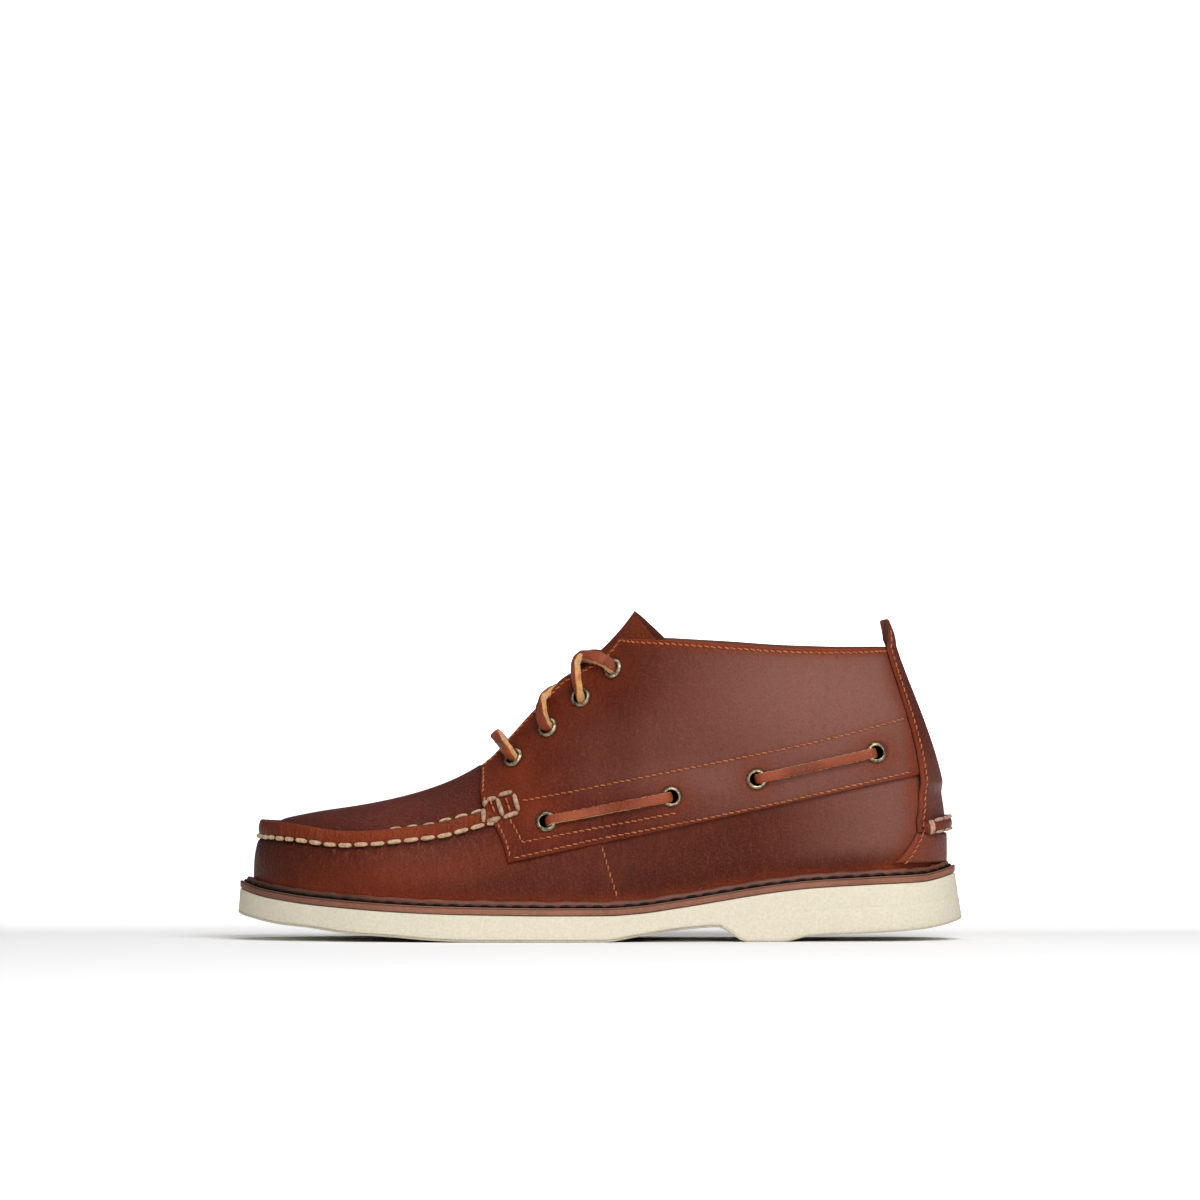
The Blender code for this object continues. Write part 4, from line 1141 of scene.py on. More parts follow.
def build_upper():
    points, faces, looks, shades = [], [], [], []
    paths = {}
    count = 0
    for side, _ in SIDES:
        outer, inner, paths[side] = upper_side(side)
        columns, rows = outer.shape[:2]
        for layer, grid in ((0, outer), (1, inner)):
            points.append(grid.reshape(-1, 3))
            flip = (side == MEDIAL) != (layer == 1)
            quads = grid_faces(columns, rows, count + layer * columns * rows, False, flip)
            faces.append(quads)
            row_of = np.tile(np.arange(rows - 1), columns - 1)
            edge_rows = (row_of >= WALL_ROWS + 8) & (row_of <= WALL_ROWS + 13)
            column_of = np.repeat(np.arange(columns - 1), rows - 1)
            raw = edge_rows & (ALL_US[column_of] > THROAT_RIB)
            looks.append(np.where(layer == 1, 1, np.where(raw, 2, 0)))
        half = columns * rows
        c = np.arange(columns - 1)
        for row in (0, rows - 1):
            keep = c if row == 0 else c[ALL_US[c] < THROAT_RIB - 0.001]
            a, b = count + keep * rows + row, count + (keep + 1) * rows + row
            faces.append(np.stack([a, b, b + half, a + half], -1))
            looks.append(np.full(len(keep), 2))
        shades.append(upper_shades(outer))
        shades.append({key: np.zeros(half) for key in ("glow", "shade", "bloom", "grain")})
        count += 2 * half
    joined = {key: np.concatenate([part[key] for part in shades]) for key in shades[0]}
    obj = mesh_piece(
        "upper_shell", np.concatenate(points), np.concatenate(faces).tolist(), [LEATHER, LINING, CUT_EDGE],
        attributes=joined, face_look=np.concatenate(looks),
    )
    return merged(obj), paths


def strip_line(z):
    """Where the strip's near edge lies along the boot, at each height."""
    return np.interp(z, [28, 50, 66, 84, 94, 103, 121], [123, 131, 131, 129.5, 127, 122.6, 119.3])


def upper_shades(outer):
    """Where the leather glows, takes painted shade, takes a painted sheen (a painted highlight) or shows grain, for
    each point of the outside.
    """
    columns, rows = outer.shape[:2]
    us = np.repeat(ALL_US, rows)
    p = outer.reshape(-1, 3)
    row = np.tile(np.arange(rows), columns)
    front = smooth(THROAT_RIB - 0.5, THROAT_RIB + 0.3, us)
    lip = (row >= WALL_ROWS) & (row < WALL_ROWS + len(LIP_SECTION))
    over_welt = p[:, 2] - welt_height(p[:, 0]) - BEAD_HEIGHT
    glow = 0.75 * np.exp(-np.clip(over_welt, 0, None) / 1.7)
    glow += (0.8 - 0.5 * smooth(-122, -138, p[:, 0])) * lip * front
    seam_high = SHAFT_HEIGHT * RIBS.read("seam", us)
    glow += 0.30 * front * np.exp(-(((p[:, 2] - seam_high + 13) / 7) ** 2))
    toe = smooth(-95, -138, p[:, 0])
    wall = row < WALL_ROWS
    shade = 0.75 * toe * wall * (0.4 + 0.6 * smooth(0, 6, over_welt))
    shade += 0.55 * np.exp(-(((p[:, 2] - seam_high + 1.0) / 1.2) ** 2)) * front * wall
    shade += 0.75 * (row == WALL_ROWS + 10) * front
    plug = row >= WALL_ROWS + len(LIP_SECTION)
    shade += 0.35 * plug * front * (1 - smooth(WALL_ROWS + 16, WALL_ROWS + 22.6, row))
    shade += 0.35 * plug * toe
    below = np.exp(-np.clip(seam_high - 3 - p[:, 2], 0, None) / 9)
    grain = 0.8 * lip * front + 0.9 * wall * front * below * (1 - 0.7 * toe)
    # Painted sheen: a pale highlight painted on the vamp wall's middle and, rising towards the heel, on the rear,
    # where the lamps' reflection falls
    bloom = 0.16 * wall * front * np.exp(-(((p[:, 0] + 72) / 24) ** 2)) * smooth(18, 30, p[:, 2])
    rear = 1 - front
    bloom += rear * smooth(1, 12, over_welt) * (0.05 + 0.75 * smooth(60, 124, p[:, 0]))
    glow += 0.4 * rear * np.exp(-(((p[:, 0] - strip_line(p[:, 2]) + 1) / 4.0) ** 2))
    bloom = bloom * (1 - 0.7 * np.clip(glow, 0, 1))
    return {
        "glow": np.clip(glow, 0, 1), "shade": np.clip(shade, 0, 1),
        "bloom": np.clip(bloom, 0, 1), "grain": np.clip(grain + 0.25 * rear, 0, 1),
    }


UPPER, SEAMS = build_upper()
done(UPPER, "leather", "upper")


# The quarters

# Stitched lines of the quarter, seen from the side
LINE_LOW = view_px((513.7, 857.6), (592.3, 839.6), (700, 819), (789.3, 800.1), (912, 772.0))
LINE_HIGH = view_px(
    (522, 801), (578.2, 790.5), (634.3, 778.6), (700, 765.5), (789.3, 747.8), (840.3, 736.3), (905, 719.2),
)
LINE_INNER = view_px((510.2, 818.6), (522.8, 841.7), (676.4, 812.3))
BULGE_AT = view_px((561, 680))[0]
QUARTER_LEAN = 0.17
FACING_PX = ((513.7, 758.6), (547.8, 728.4), (580.7, 698.2), (613.3, 669.7))
STRAP_PX = ((546.6, 821.4), (671.1, 796.1), (756.1, 778.8), (875.4, 752.9))


def edge_spaced(length, count, fine=(0.0, 0.12, 0.3, 0.55, 0.9, 1.3, 1.8)):
    """Shares of a length, closer together at both of its ends. length holds one value a column."""
    fine = np.array(fine)
    middle = np.linspace(0, 1, count - 2 * len(fine) + 2)[1:-1]
    inner = fine[-1] + (length[:, None] - 2 * fine[-1]) * middle[None, :]
    ends = np.broadcast_to(fine, (len(length), len(fine)))
    return np.concatenate([ends, inner, length[:, None] - ends[:, ::-1]], 1)


def rounded_edge(distance, radius=0.75):
    """Share of a panel's thickness at a distance from its edge."""
    d = np.clip(distance / radius, 0, 1)
    return np.sqrt(np.clip(1 - (1 - d) ** 2, 0, 1)) * 0.75 + 0.25


def build_quarter(side, word):
    ends = (0.36, 0.32, 0.28, 0.24, 0.2, 0.16, 0.12, 0.085, 0.055, 0.03, 0.012, 0.0)
    us = np.concatenate([np.linspace(0.25, 8.6, 200), THROAT_RIB - np.array(ends)])
    us = np.unique(np.round(us, 4))
    cols = Columns(us, side)
    lean = QUARTER_LEAN * smooth(7.2, 9.0, us)
    foot, top = Columns(us + lean, side).quarter_foot(), np.minimum(cols.cut(), 0.999)
    low = cols.length_at(foot[:, None])[:, 0]
    high = cols.length_at(top[:, None])[:, 0]
    from_foot = edge_spaced(high - low, 92)
    t = cols.level_at(low[:, None] + from_foot)
    risen = from_foot / (high - low)[:, None]
    leaning = us[:, None] + lean[:, None] * (1 - smooth(0.0, 0.75, risen))
    bow = np.sin(math.pi * np.clip(risen, 0, 1) ** 1.3) ** 2
    leaning = leaning + 0.2 * smooth(7.6, 9.0, us)[:, None] * bow
    base = arch(leaning, t, side)
    out = normal(leaning, np.minimum(t, 0.998), side)
    from_top = (high - low)[:, None] - from_foot
    steps = np.linalg.norm(np.diff(base, axis=0), axis=-1)
    from_front = np.concatenate([np.cumsum(steps[::-1], 0)[::-1], np.zeros((1, base.shape[1]))])
    near = np.minimum(np.minimum(from_foot, from_top), from_front)
    thick = PANEL_THICK * rounded_edge(near)
    flat = np.stack([base[..., 0], base[..., 2]], -1).reshape(-1, 2)
    trough = np.zeros(near.shape)
    for line in (LINE_LOW, LINE_HIGH, LINE_INNER):
        trough -= 0.26 * np.exp(-((line_distance(flat, line) / 0.75) ** 2)).reshape(near.shape)
    for distance, inset in ((from_top, COLLAR_SEAM), (from_front, FACING_SEAM)):
        trough -= 0.24 * np.exp(-(((distance - inset) / 0.6) ** 2))
    span = np.linalg.norm(flat - BULGE_AT, axis=1).reshape(near.shape)
    bulge = 2.4 * np.exp(-((span / 8.5) ** 2)) * np.exp(-((from_top / 7.0) ** 2))
    softness = 0.25 * np.sin(us * 2.1 + 0.6)[:, None] * np.exp(-(((from_top - 22) / 16) ** 2))
    lift = PANEL_GAP + bulge + softness
    outer = base + out * (lift + np.maximum(thick + trough, 0.15))[..., None]
    inner = base + out * (lift + PANEL_THICK * 0.12 * (1 - rounded_edge(near)))[..., None]
    glow = 0.85 * np.exp(-(from_top / 2.3) ** 2 * 0.6) + 0.35 * np.exp(-((from_front / 3.0) ** 2))
    glow += 0.5 * np.exp(-((from_foot / 1.2) ** 2))
    x, z = base[..., 0], base[..., 2]
    places = view_px(*FACING_PX, *STRAP_PX)
    shade = 0.55 * np.exp(-((from_foot / 0.7) ** 2))
    for i, (px, pz) in enumerate(places):
        d = np.hypot(x - px, z - pz)
        glow += (0.42 if i < 4 else 0.3) * np.exp(-((np.clip(d - 3.5, 0, None) / 6.0) ** 2))
        shade += 0.6 * np.exp(-((np.clip(d - 4.0, 0, None) / 0.8) ** 2))
    ahead = np.exp(-(((x + 38) / 16) ** 2) - ((z - 62) / 16) ** 2)
    glow += 0.4 * ahead
    shade -= 0.2 * trough * 4
    # Painted sheen: a pale highlight painted rising towards the heel and in soft patches, where the lamps' reflection
    # falls
    bloom = smooth(0, 92, x) * (0.6 + 0.4 * np.exp(-(((z - 104) / 24) ** 2)))
    bloom += 0.42 * np.exp(-(((x - 34) / 36) ** 2) - ((z - 67) / 8) ** 2)
    bloom += 0.25 * np.exp(-(((x - 14) / 26) ** 2) - ((z - 84) / 12) ** 2)
    glow += 0.45 * np.exp(-(((x - strip_line(z) + 1) / 3.6) ** 2))
    bloom *= 1 - np.clip(glow, 0, 1)
    shade += 0.3 * np.exp(-(((x + 8) / 26) ** 2) - ((z - 96) / 22) ** 2)
    grain = 0.25 + 0 * x
    points, faces = shell(outer, inner, flip=side == LATERAL)
    values = {}
    for key, value in (("glow", glow), ("shade", shade), ("bloom", bloom), ("grain", grain)):
        value = np.clip(value, 0, 1).ravel()
        values[key] = np.concatenate([value, value * 0])
    QUARTER_GRIDS[side] = {"outer": outer, "top": from_top, "front": from_front, "foot": from_foot}
    return leather_sheet(f"quarter_{word}_leather", outer, points, faces, values)


QUARTERS, QUARTER_GRIDS = {}, {}
for side, word in SIDES:
    QUARTERS[side] = done(build_quarter(side, word), "leather", f"quarter_{word}")


# The heel's strip, counter and roll


class Heel:
    """Places on the back of the upper by height and distance from the middle."""

    def __init__(self):
        self.us = np.linspace(0, 4.5, 181)
        self.sides = {side: Columns(self.us, side) for side in (LATERAL, MEDIAL)}

    def grid(self, heights, acrosses):
        """Base points and normals for rows of heights, with one array of distances each."""
        base, out = [], []
        for z, row in zip(heights, acrosses):
            for side, part in ((LATERAL, row[row < 0]), (MEDIAL, row[row >= 0])):
                cols = self.sides[side]
                level = cols.at_height(np.full(len(self.us), min(z, SHAFT_HEIGHT * 0.9995)))
                off = np.array([np.interp(t, FINE, r) for t, r in zip(level, cols.off_axis)])
                u = np.interp(np.abs(part), np.maximum.accumulate(off), self.us)
                t = np.minimum(np.interp(u, self.us, level), 0.998)
                base.append(arch(u, t, side))
                out.append(normal(u, t, side))
        width = len(acrosses[0])
        return np.concatenate(base).reshape(-1, width, 3), np.concatenate(out).reshape(-1, width, 3)


HEEL = Heel()


def strip_half(z):
    share = np.clip((z - ROLL_HIGH) / (SHAFT_HEIGHT - ROLL_HIGH), 0, 1)
    return STRIP_LOW_HALF + (STRIP_TOP_HALF - STRIP_LOW_HALF) * share**0.8


def counter_half(z):
    top = ROLL_HIGH - ROLL_WIDE / 2
    share = (top - z) / (top - HEEL_STACK - MIDSOLE_THICK)
    return STRIP_LOW_HALF + (COUNTER_LOW_HALF - STRIP_LOW_HALF) * share


def heel_values(shape, **values):
    out = {}
    for key in ("glow", "shade", "bloom", "grain"):
        value = np.clip(np.broadcast_to(values.get(key, 0.0), shape), 0, 1).ravel()
        out[key] = np.concatenate([value, value * 0])
    return out


# The pull tab's section: shares of its rise, of its lean and of a panel's thickness folded in
TAB_SECTION = (
    (0.10, 0.02, 0.5), (0.25, 0.1, 1.2), (0.45, 0.25, 1.35), (0.65, 0.5, 1.4), (0.85, 0.8, 1.4),
    (0.96, 0.96, 1.25), (1.0, 1.02, 0.7),
)


def heel_panel(name, heights, half_of, base_of, values_of, tab=False):
    """A sheet across the heel with rounded edges and a stitch trough along its sides."""
    inner_shares = np.linspace(-1, 1, 53)
    acrosses, edges = [], []
    for z in heights:
        half = float(half_of(z))
        row = inner_shares * (half - 1.8)
        fine = half - np.array([0.0, 0.12, 0.3, 0.55, 0.9, 1.3])
        row = np.concatenate([-fine, row, fine[::-1]])
        acrosses.append(row)
        edges.append(half - np.abs(row))
    base, out = HEEL.grid(heights, acrosses)
    edges = np.array(edges)
    lows = (np.array(heights) - heights[0])[:, None]
    highs = (heights[-1] - np.array(heights))[:, None] + (9 if tab else 0)
    near = np.minimum(edges, np.minimum(lows, highs))
    trough = -0.24 * np.exp(-(((edges - HEEL_SEAM) / 0.6) ** 2))
    lift = np.array([base_of(z) for z in heights])[:, None]
    outer = base + out * (lift + np.maximum(STRIP_THICK * rounded_edge(near, 0.8) + trough, 0.2))[..., None]
    inner = base + out * lift[..., None]
    values = values_of(np.array(heights)[:, None], edges)
    if tab:
        more_out, more_in = [], []
        for rise, lean, fold in TAB_SECTION:
            step = np.array([-TAB_LEAN * lean, 0, TAB_RISE * rise])
            fold_in = np.array([-PANEL_THICK * fold, 0, 0])
            shrink = np.array([-0.25 if rise == 1.0 else 0.0, 0, 0])
            flat = np.array([0.78 * rise, 0, 0]) * (outer[-1][len(outer[-1]) // 2] - outer[-1])
            more_out.append(outer[-1] + step + shrink + flat)
            more_in.append(inner[-1] + step + fold_in + flat)
        outer = np.concatenate([outer, np.array(more_out)])
        inner = np.concatenate([inner, np.array(more_in)])
        rows = [*range(len(edges)), *[len(edges) - 1] * len(more_out)]
        values = {key: np.broadcast_to(value, edges.shape)[rows] for key, value in values.items()}
        edges = np.concatenate([edges, np.repeat(edges[-1:], len(more_out), 0)])
    points, faces = shell(outer, inner, flip=False)
    return leather_sheet(name, outer, points, faces, heel_values(edges.shape, **values)), outer, edges


def strip_base(z):
    low = SHAFT_HEIGHT * 0.571 - 6.5
    return PANEL_GAP + (PANEL_GAP + PANEL_THICK) * smooth(low - 3, low + 3, z)


def strip_values(z, edges):
    return {
        "glow": 0.55 * np.exp(-((edges / 1.6) ** 2)) + 0.25 * smooth(100, 121, z) + 0 * edges,
        "shade": 0.25 * smooth(70, 121, z) + 0.25 * (1 - smooth(53, 56, z)) + 0 * edges,
        # Painted sheen on the strip's lower part: a painted highlight of the lamps' reflection
        "bloom": 0.35 * (1 - smooth(60, 90, z)) + 0 * edges,
        "grain": 0.3 + 0 * edges,
    }


def counter_values(z, edges):
    glow = 0.35 + 0.4 * np.exp(-((edges / 1.6) ** 2)) + 0 * z
    # The counter carries an even painted sheen, a painted highlight of the lamps' reflection
    return {"glow": glow, "shade": 0 * edges, "bloom": 0.45 + 0 * edges, "grain": 0.3 + 0 * edges}


def build_roll():
    """The padded roll across the heel, drawn in where its ties cross it."""
    shares = np.linspace(-1, 1, 221)
    turns = np.linspace(0, math.pi, 17)
    acrosses = shares * ROLL_REACH
    run = acrosses
    tie = np.exp(-(((np.abs(run) - 19.0) / 1.3) ** 2))
    ends = np.sqrt(np.clip(1 - ((np.abs(shares) - 0.93) / 0.07).clip(0, 1) ** 2, 0.02, 1))
    rings = []
    for turn in turns:
        up, swell = -math.cos(turn), math.sin(turn)
        high = ROLL_MIDDLE + up * ROLL_WIDE * 0.40
        base, out = HEEL.grid([high], [acrosses])
        swell = 1.12 * swell**0.6 * (1 - 0.3 * tie) * (0.25 + 0.75 * ends)
        lift = ROLL_BASE + ROLL_THICK * swell
        point = base[0] + out[0] * lift[:, None]
        point[:, 2] -= up * ROLL_WIDE * 0.5 * (1 - ends) * 0.5 + ROLL_SAG * shares**2
        rings.append(point)
    rings = np.stack(rings, 1)
    points, faces = sweep(rings)
    shade = np.tile(0.75 * (1 - np.sin(turns) ** 0.5), len(shares)) + 0.35 * np.repeat(tie, len(turns))
    glow = 0.5 * np.tile(np.sin(turns), len(shares))
    # Painted sheen on the roll's crest, a painted highlight, with painted shade along its top and foot
    values = {"shade": np.clip(shade, 0, 1), "glow": glow, "bloom": glow * 0.4, "grain": glow * 0 + 0.8}
    return mesh_piece("heel_roll_leather", points, faces, LEATHER, values)


roll_foot = ROLL_HIGH - ROLL_WIDE / 2 - GAP
collar = SHAFT_HEIGHT * 0.9998 - GAP
strip_low = ROLL_HIGH - ROLL_WIDE * 0.42 - 1.6
strip_heights = np.concatenate([
    [strip_low, strip_low + 0.15, strip_low + 0.4, strip_low + 0.8],
    np.linspace(strip_low + 1.4, collar, 76),
])
STRIP, STRIP_GRID, STRIP_EDGES = heel_panel(
    "back_strip_leather", strip_heights, strip_half, strip_base, strip_values, tab=True,
)
done(STRIP, "leather", "back_strip")
bead_top = welt_height(LENGTH / 2 - 6) + BEAD_HEIGHT + 3 * GAP
counter_heights = np.concatenate([
    np.linspace(bead_top - 1.6, roll_foot - 0.9, 18),
    [roll_foot - 0.5, roll_foot - 0.2, roll_foot],
]) - (roll_foot - strip_low + 0.15) * np.linspace(0, 1, 21)
COUNTER, COUNTER_GRID, COUNTER_EDGES = heel_panel(
    "heel_counter_leather", counter_heights, counter_half, lambda z: 2 * PANEL_GAP, counter_values,
)
done(COUNTER, "leather", "heel_counter")
done(build_roll(), "leather", "heel_roll")


# The tongue


def build_tongue():
    shares = np.linspace(-1, 1, 61)
    us = np.linspace(THROAT_RIB + 0.6, THROAT_TOP_RIB, 50)
    sides = {side: Columns(us, side) for side in (LATERAL, MEDIAL)}
    drop = TONGUE_LOW_DROP + (TONGUE_DROP - TONGUE_LOW_DROP) * smooth(9.0, 8.6, us)
    outer = np.zeros((len(us), len(shares), 3))
    inner = outer.copy()
    for j, share in enumerate(shares):
        side = LATERAL if share < 0 else MEDIAL
        cols = sides[side]
        level = cols.first_above(np.where(FINE > 0.2, TONGUE_HALF * abs(share) - cols.off_axis, -1))
        t = np.minimum(level, 0.999)
        from_edge = np.full(len(us), (1 - abs(share)) * TONGUE_HALF)
        depth = WALL + drop + 0.5 * (1 - rounded_edge(from_edge, 1.2))
        outer[:, j] = skin(us, t, side, -depth)
        inner[:, j] = skin(us, t, side, -depth - TONGUE_THICK)
        place = outer[:, j, 0]
        ridge = 3.4 * np.exp(-(((place + 6) / 7) ** 2)) * math.exp(-((share / 0.45) ** 2)) * (1 - smooth(-3, 4, place))
        outer[:, j, 2] += ridge
        inner[:, j, 2] += ridge
    run = unit(arch(np.array([7.0]), np.array([1.0]), LATERAL) - arch(np.array([8.0]), np.array([1.0]), LATERAL))[0]
    out = np.array([-run[2], 0, run[0]])
    crown = outer[-1][len(shares) // 2]
    more_out, more_in = [], []
    for share in np.concatenate([np.linspace(0.06, 0.97, 24), [0.99, 1.0]]):
        slide = TONGUE_RISE * share - ((outer[-1] - crown) @ run) * share
        inward = np.zeros((len(shares), 3))
        inward[:, 1] = (crown[1] - outer[-1][:, 1]) * TONGUE_NARROW * share
        step = run * slide[:, None] + out * TONGUE_FLARE * share**2 + inward
        more_out.append(outer[-1] + step)
        more_in.append(inner[-1] + step + out * (0.3 if share > 0.985 else 0))
    outer = np.concatenate([outer, np.array(more_out)])
    inner = np.concatenate([inner, np.array(more_in)])
    points, faces = shell(outer, inner)
    shape = outer.shape[:2]
    along = np.linspace(0, 1, shape[0])[:, None]
    glow, shade = 0.5 * smooth(0.75, 1.0, along), 0.8 * (1 - smooth(0.5, 0.72, along))
    values = heel_values(shape, glow=glow, shade=shade, grain=0.4)
    return leather_sheet("tongue_leather", outer, points, faces, values, TONGUE_LOOK)


done(build_tongue(), "leather", "tongue")


# Eyelets

SOLID = Surface(QUARTERS[LATERAL], QUARTERS[MEDIAL], UPPER)


def eyelet_site(x, z, side):
    """Where an eyelet sits: the mean direction of the leather round it, and its highest spot."""
    hits = [SOLID.side(x + dx, z + dz, side) for dx, dz in ((0, 0), (3, 0), (-3, 0), (0, 2.5), (0, -2.5))]
    hits = [hit for hit in hits if hit is not None]
    out = unit(sum(hit[1] for hit in hits))
    spot = hits[0][0]
    return spot + out * max(float((hit[0] - spot) @ out) for hit in hits) * 0.6, out


def basis(out):
    across = unit(np.cross(out, [0, 0, 1.0]))
    return across, np.cross(across, out)


def build_eyelet(name, spot, out):
    """A rolled ring with a barrel, turned round its axis."""
    hole, flange = EYELET_HOLE, EYELET_FLANGE + 0.05
    # The barrel is closed at its foot by a disc painted dark with the rest of its inside: painted shade, so that the
    # hole reads as dark instead of showing through the boot
    profile = (
        (0.02, -3.9), (hole, -3.9), (hole, -0.4), (hole, 0.55), (hole + 0.05, 0.95), (hole + 0.22, 1.22), (hole + 0.5, 1.32),
        (hole + 0.8, 1.22), (hole + 1.1, 1.02), (hole + 1.35, 0.74), (flange - 0.08, 0.42), (flange, 0.16),
        (flange - 0.05, -0.1), (flange - 0.7, -0.25), (hole + 0.42, -0.35), (hole + 0.42, -4.2), (0.02, -4.2),
    )
    shade_at = (1, 1, 1, 0.6, 0.2, 0, 0, 0.08, 0.15, 0.2, 0.3, 0.7, 1, 1, 1, 1, 1)
    across, up = basis(out)
    turns = np.linspace(0, 2 * math.pi, 48, endpoint=False)
    ring = across[None, :] * np.cos(turns)[:, None] + up[None, :] * np.sin(turns)[:, None]
    rings = spot + np.stack([ring * r + out * z for r, z in profile], 1)
    points, faces = sweep(rings, wrap=True)
    shade = np.tile(shade_at, len(turns)).astype(float)
    return mesh_piece(name, points, faces, BRASS, attributes={"shade": shade})


def open_holes(obj, sites, radius=EYELET_HOLE):
    """Takes the faces away where the eyelets' holes are."""
    work = bmesh.new()
    work.from_mesh(obj.data)
    places = np.array([v.co for v in work.verts]) * 1000
    gone = np.zeros(len(places), bool)
    for spot, out in sites:
        along = (places - spot) @ out
        off = np.linalg.norm(places - spot - along[:, None] * out, axis=1)
        gone |= (off < radius) & (np.abs(along) < 7)
    work.verts.ensure_lookup_table()
    bmesh.ops.delete(work, geom=[work.verts[i] for i in np.flatnonzero(gone)], context="VERTS")
    work.to_mesh(obj.data)
    work.free()


FACING, STRAPS = {}, {}
for side, word in SIDES:
    FACING[side] = [eyelet_site(x, z, side) for x, z in view_px(*FACING_PX)]
    STRAPS[side] = [eyelet_site(x, z, side) for x, z in view_px(*STRAP_PX)]
for side, word in SIDES:
    for kind, sites in (("facing", FACING[side]), ("side", STRAPS[side])):
        for i, (spot, out) in enumerate(sites):
            node = f"{kind}_eyelet_{word}_{i + 1}"
            done(build_eyelet(f"{node}_ring", spot, out), "brass", node)


# Laces

LACE_SECTION = np.array([
    (-1, 0.3), (-0.95, 0.72), (-0.82, 0.95), (-0.45, 1.04), (0, 1.07), (0.45, 1.04), (0.82, 0.95), (0.95, 0.72),
    (1, 0.3), (1, -0.4), (0.93, -0.85), (0.8, -1), (0, -1.02), (-0.8, -1), (-0.93, -0.85), (-1, -0.4),
])
GRAIN_SIDES = {1, 2, 3, 4, 5, 6}


def lace_part(heap, path, ups, width, thick, count=70):
    """A flat lace through points, its grain side turned to the ups."""
    path, ups = np.asarray(path, float), unit(np.asarray(ups, float))
    both = rounded(np.concatenate([path, ups], 1), count)
    places, turned = both[:, :3], unit(both[:, 3:])
    places_even, at = resample(places, step=0.55)
    turned = unit(read_line(at, distances(places), turned))
    _, sideways, up = frames(places_even, turned)
    wide = width / 2 * (1 + 0.035 * np.sin(at * 1.7) + random.normal(0, 0.012, len(at)))
    rings = places_even[:, None] + sideways[:, None] * (LACE_SECTION[None, :, 0:1] * wide[:, None, None])
    edge = random.normal(0, 0.05, rings.shape[:2]) * (np.abs(LACE_SECTION[:, 0]) > 0.9)
    rings = rings + up[:, None] * (LACE_SECTION[None, :, 1:2] * thick / 2) + sideways[:, None] * edge[..., None]
    points, faces = sweep(rings)
    sides = len(LACE_SECTION)
    for n, face in enumerate(faces):
        heap_look = 0 if n < (len(rings) - 1) * sides and n % sides in GRAIN_SIDES else 1
        heap.looks.append(heap_look)
    heap.points.append(points)
    heap.faces += [tuple(i + heap.count for i in face) for face in faces]
    heap.count += len(points)


def side_lace(name, start, end, side):
    heap = Heap()
    (a, na), (b, nb) = start, end
    run = unit(b - a)
    path = [a - na * 3.2 + run * 0.2, a - na * 0.6 + run * 0.4, a + na * 1.0 + run * 1.5, a + na * 1.9 + run * 3.4]
    ups = [-run + na * 0.2, -run * 0.7 + na * 0.7, -run * 0.25 + na, na]
    for share in np.linspace(0, 1, 9)[1:-1]:
        share = 0.14 + 0.72 * share
        x, z = a[0] + (b[0] - a[0]) * share, a[2] + (b[2] - a[2]) * share
        spot, out = SOLID.side(x, z, side)
        path.append(spot + out * (1.35 + 0.9 * abs(share - 0.5) ** 2 * 4))
        ups.append(out)
    path += [b + nb * 1.9 - run * 3.4, b + nb * 1.0 - run * 1.5, b - nb * 0.6 - run * 0.4, b - nb * 3.2 - run * 0.2]
    ups += [nb, run * 0.25 + nb, run * 0.7 + nb * 0.7, run + nb * 0.2]
    lace_part(heap, path, ups, *SIDE_LACE, 140)
    return heap.piece(name, [LACE, FLESH])


AXIS_Y = float(BALL_WIDTH * PLAN.read("shift", along_of(-20.0)))
BETWEEN = unit(np.array([-0.66, 0.0, 0.75]))


def mirrored(points):
    points = np.array(points, float)
    points[:, 1] = 2 * AXIS_Y - points[:, 1]
    return points


def facing_edge(x):
    """The lateral throat edge at a place along the boot."""
    grid = QUARTER_GRIDS[LATERAL]["outer"]
    edge_line = grid[:, -1]
    order = np.argsort(edge_line[:, 0])
    line = edge_line[order]
    return np.array([x, np.interp(x, line[:, 0], line[:, 1]), np.interp(x, line[:, 0], line[:, 2])])


def near_strap(site, picture, ys, ups):
    """The near half of a crossing: from inside its eyelet's hole to its crest over the throat."""
    spot, out = site
    flat = view_px(*picture)
    path = [spot - out * 3.0, spot - out * 0.4]
    path += [np.array([x, y, z]) for (x, z), y in zip(flat, ys)]
    return path, [ups[0], ups[0], *ups]


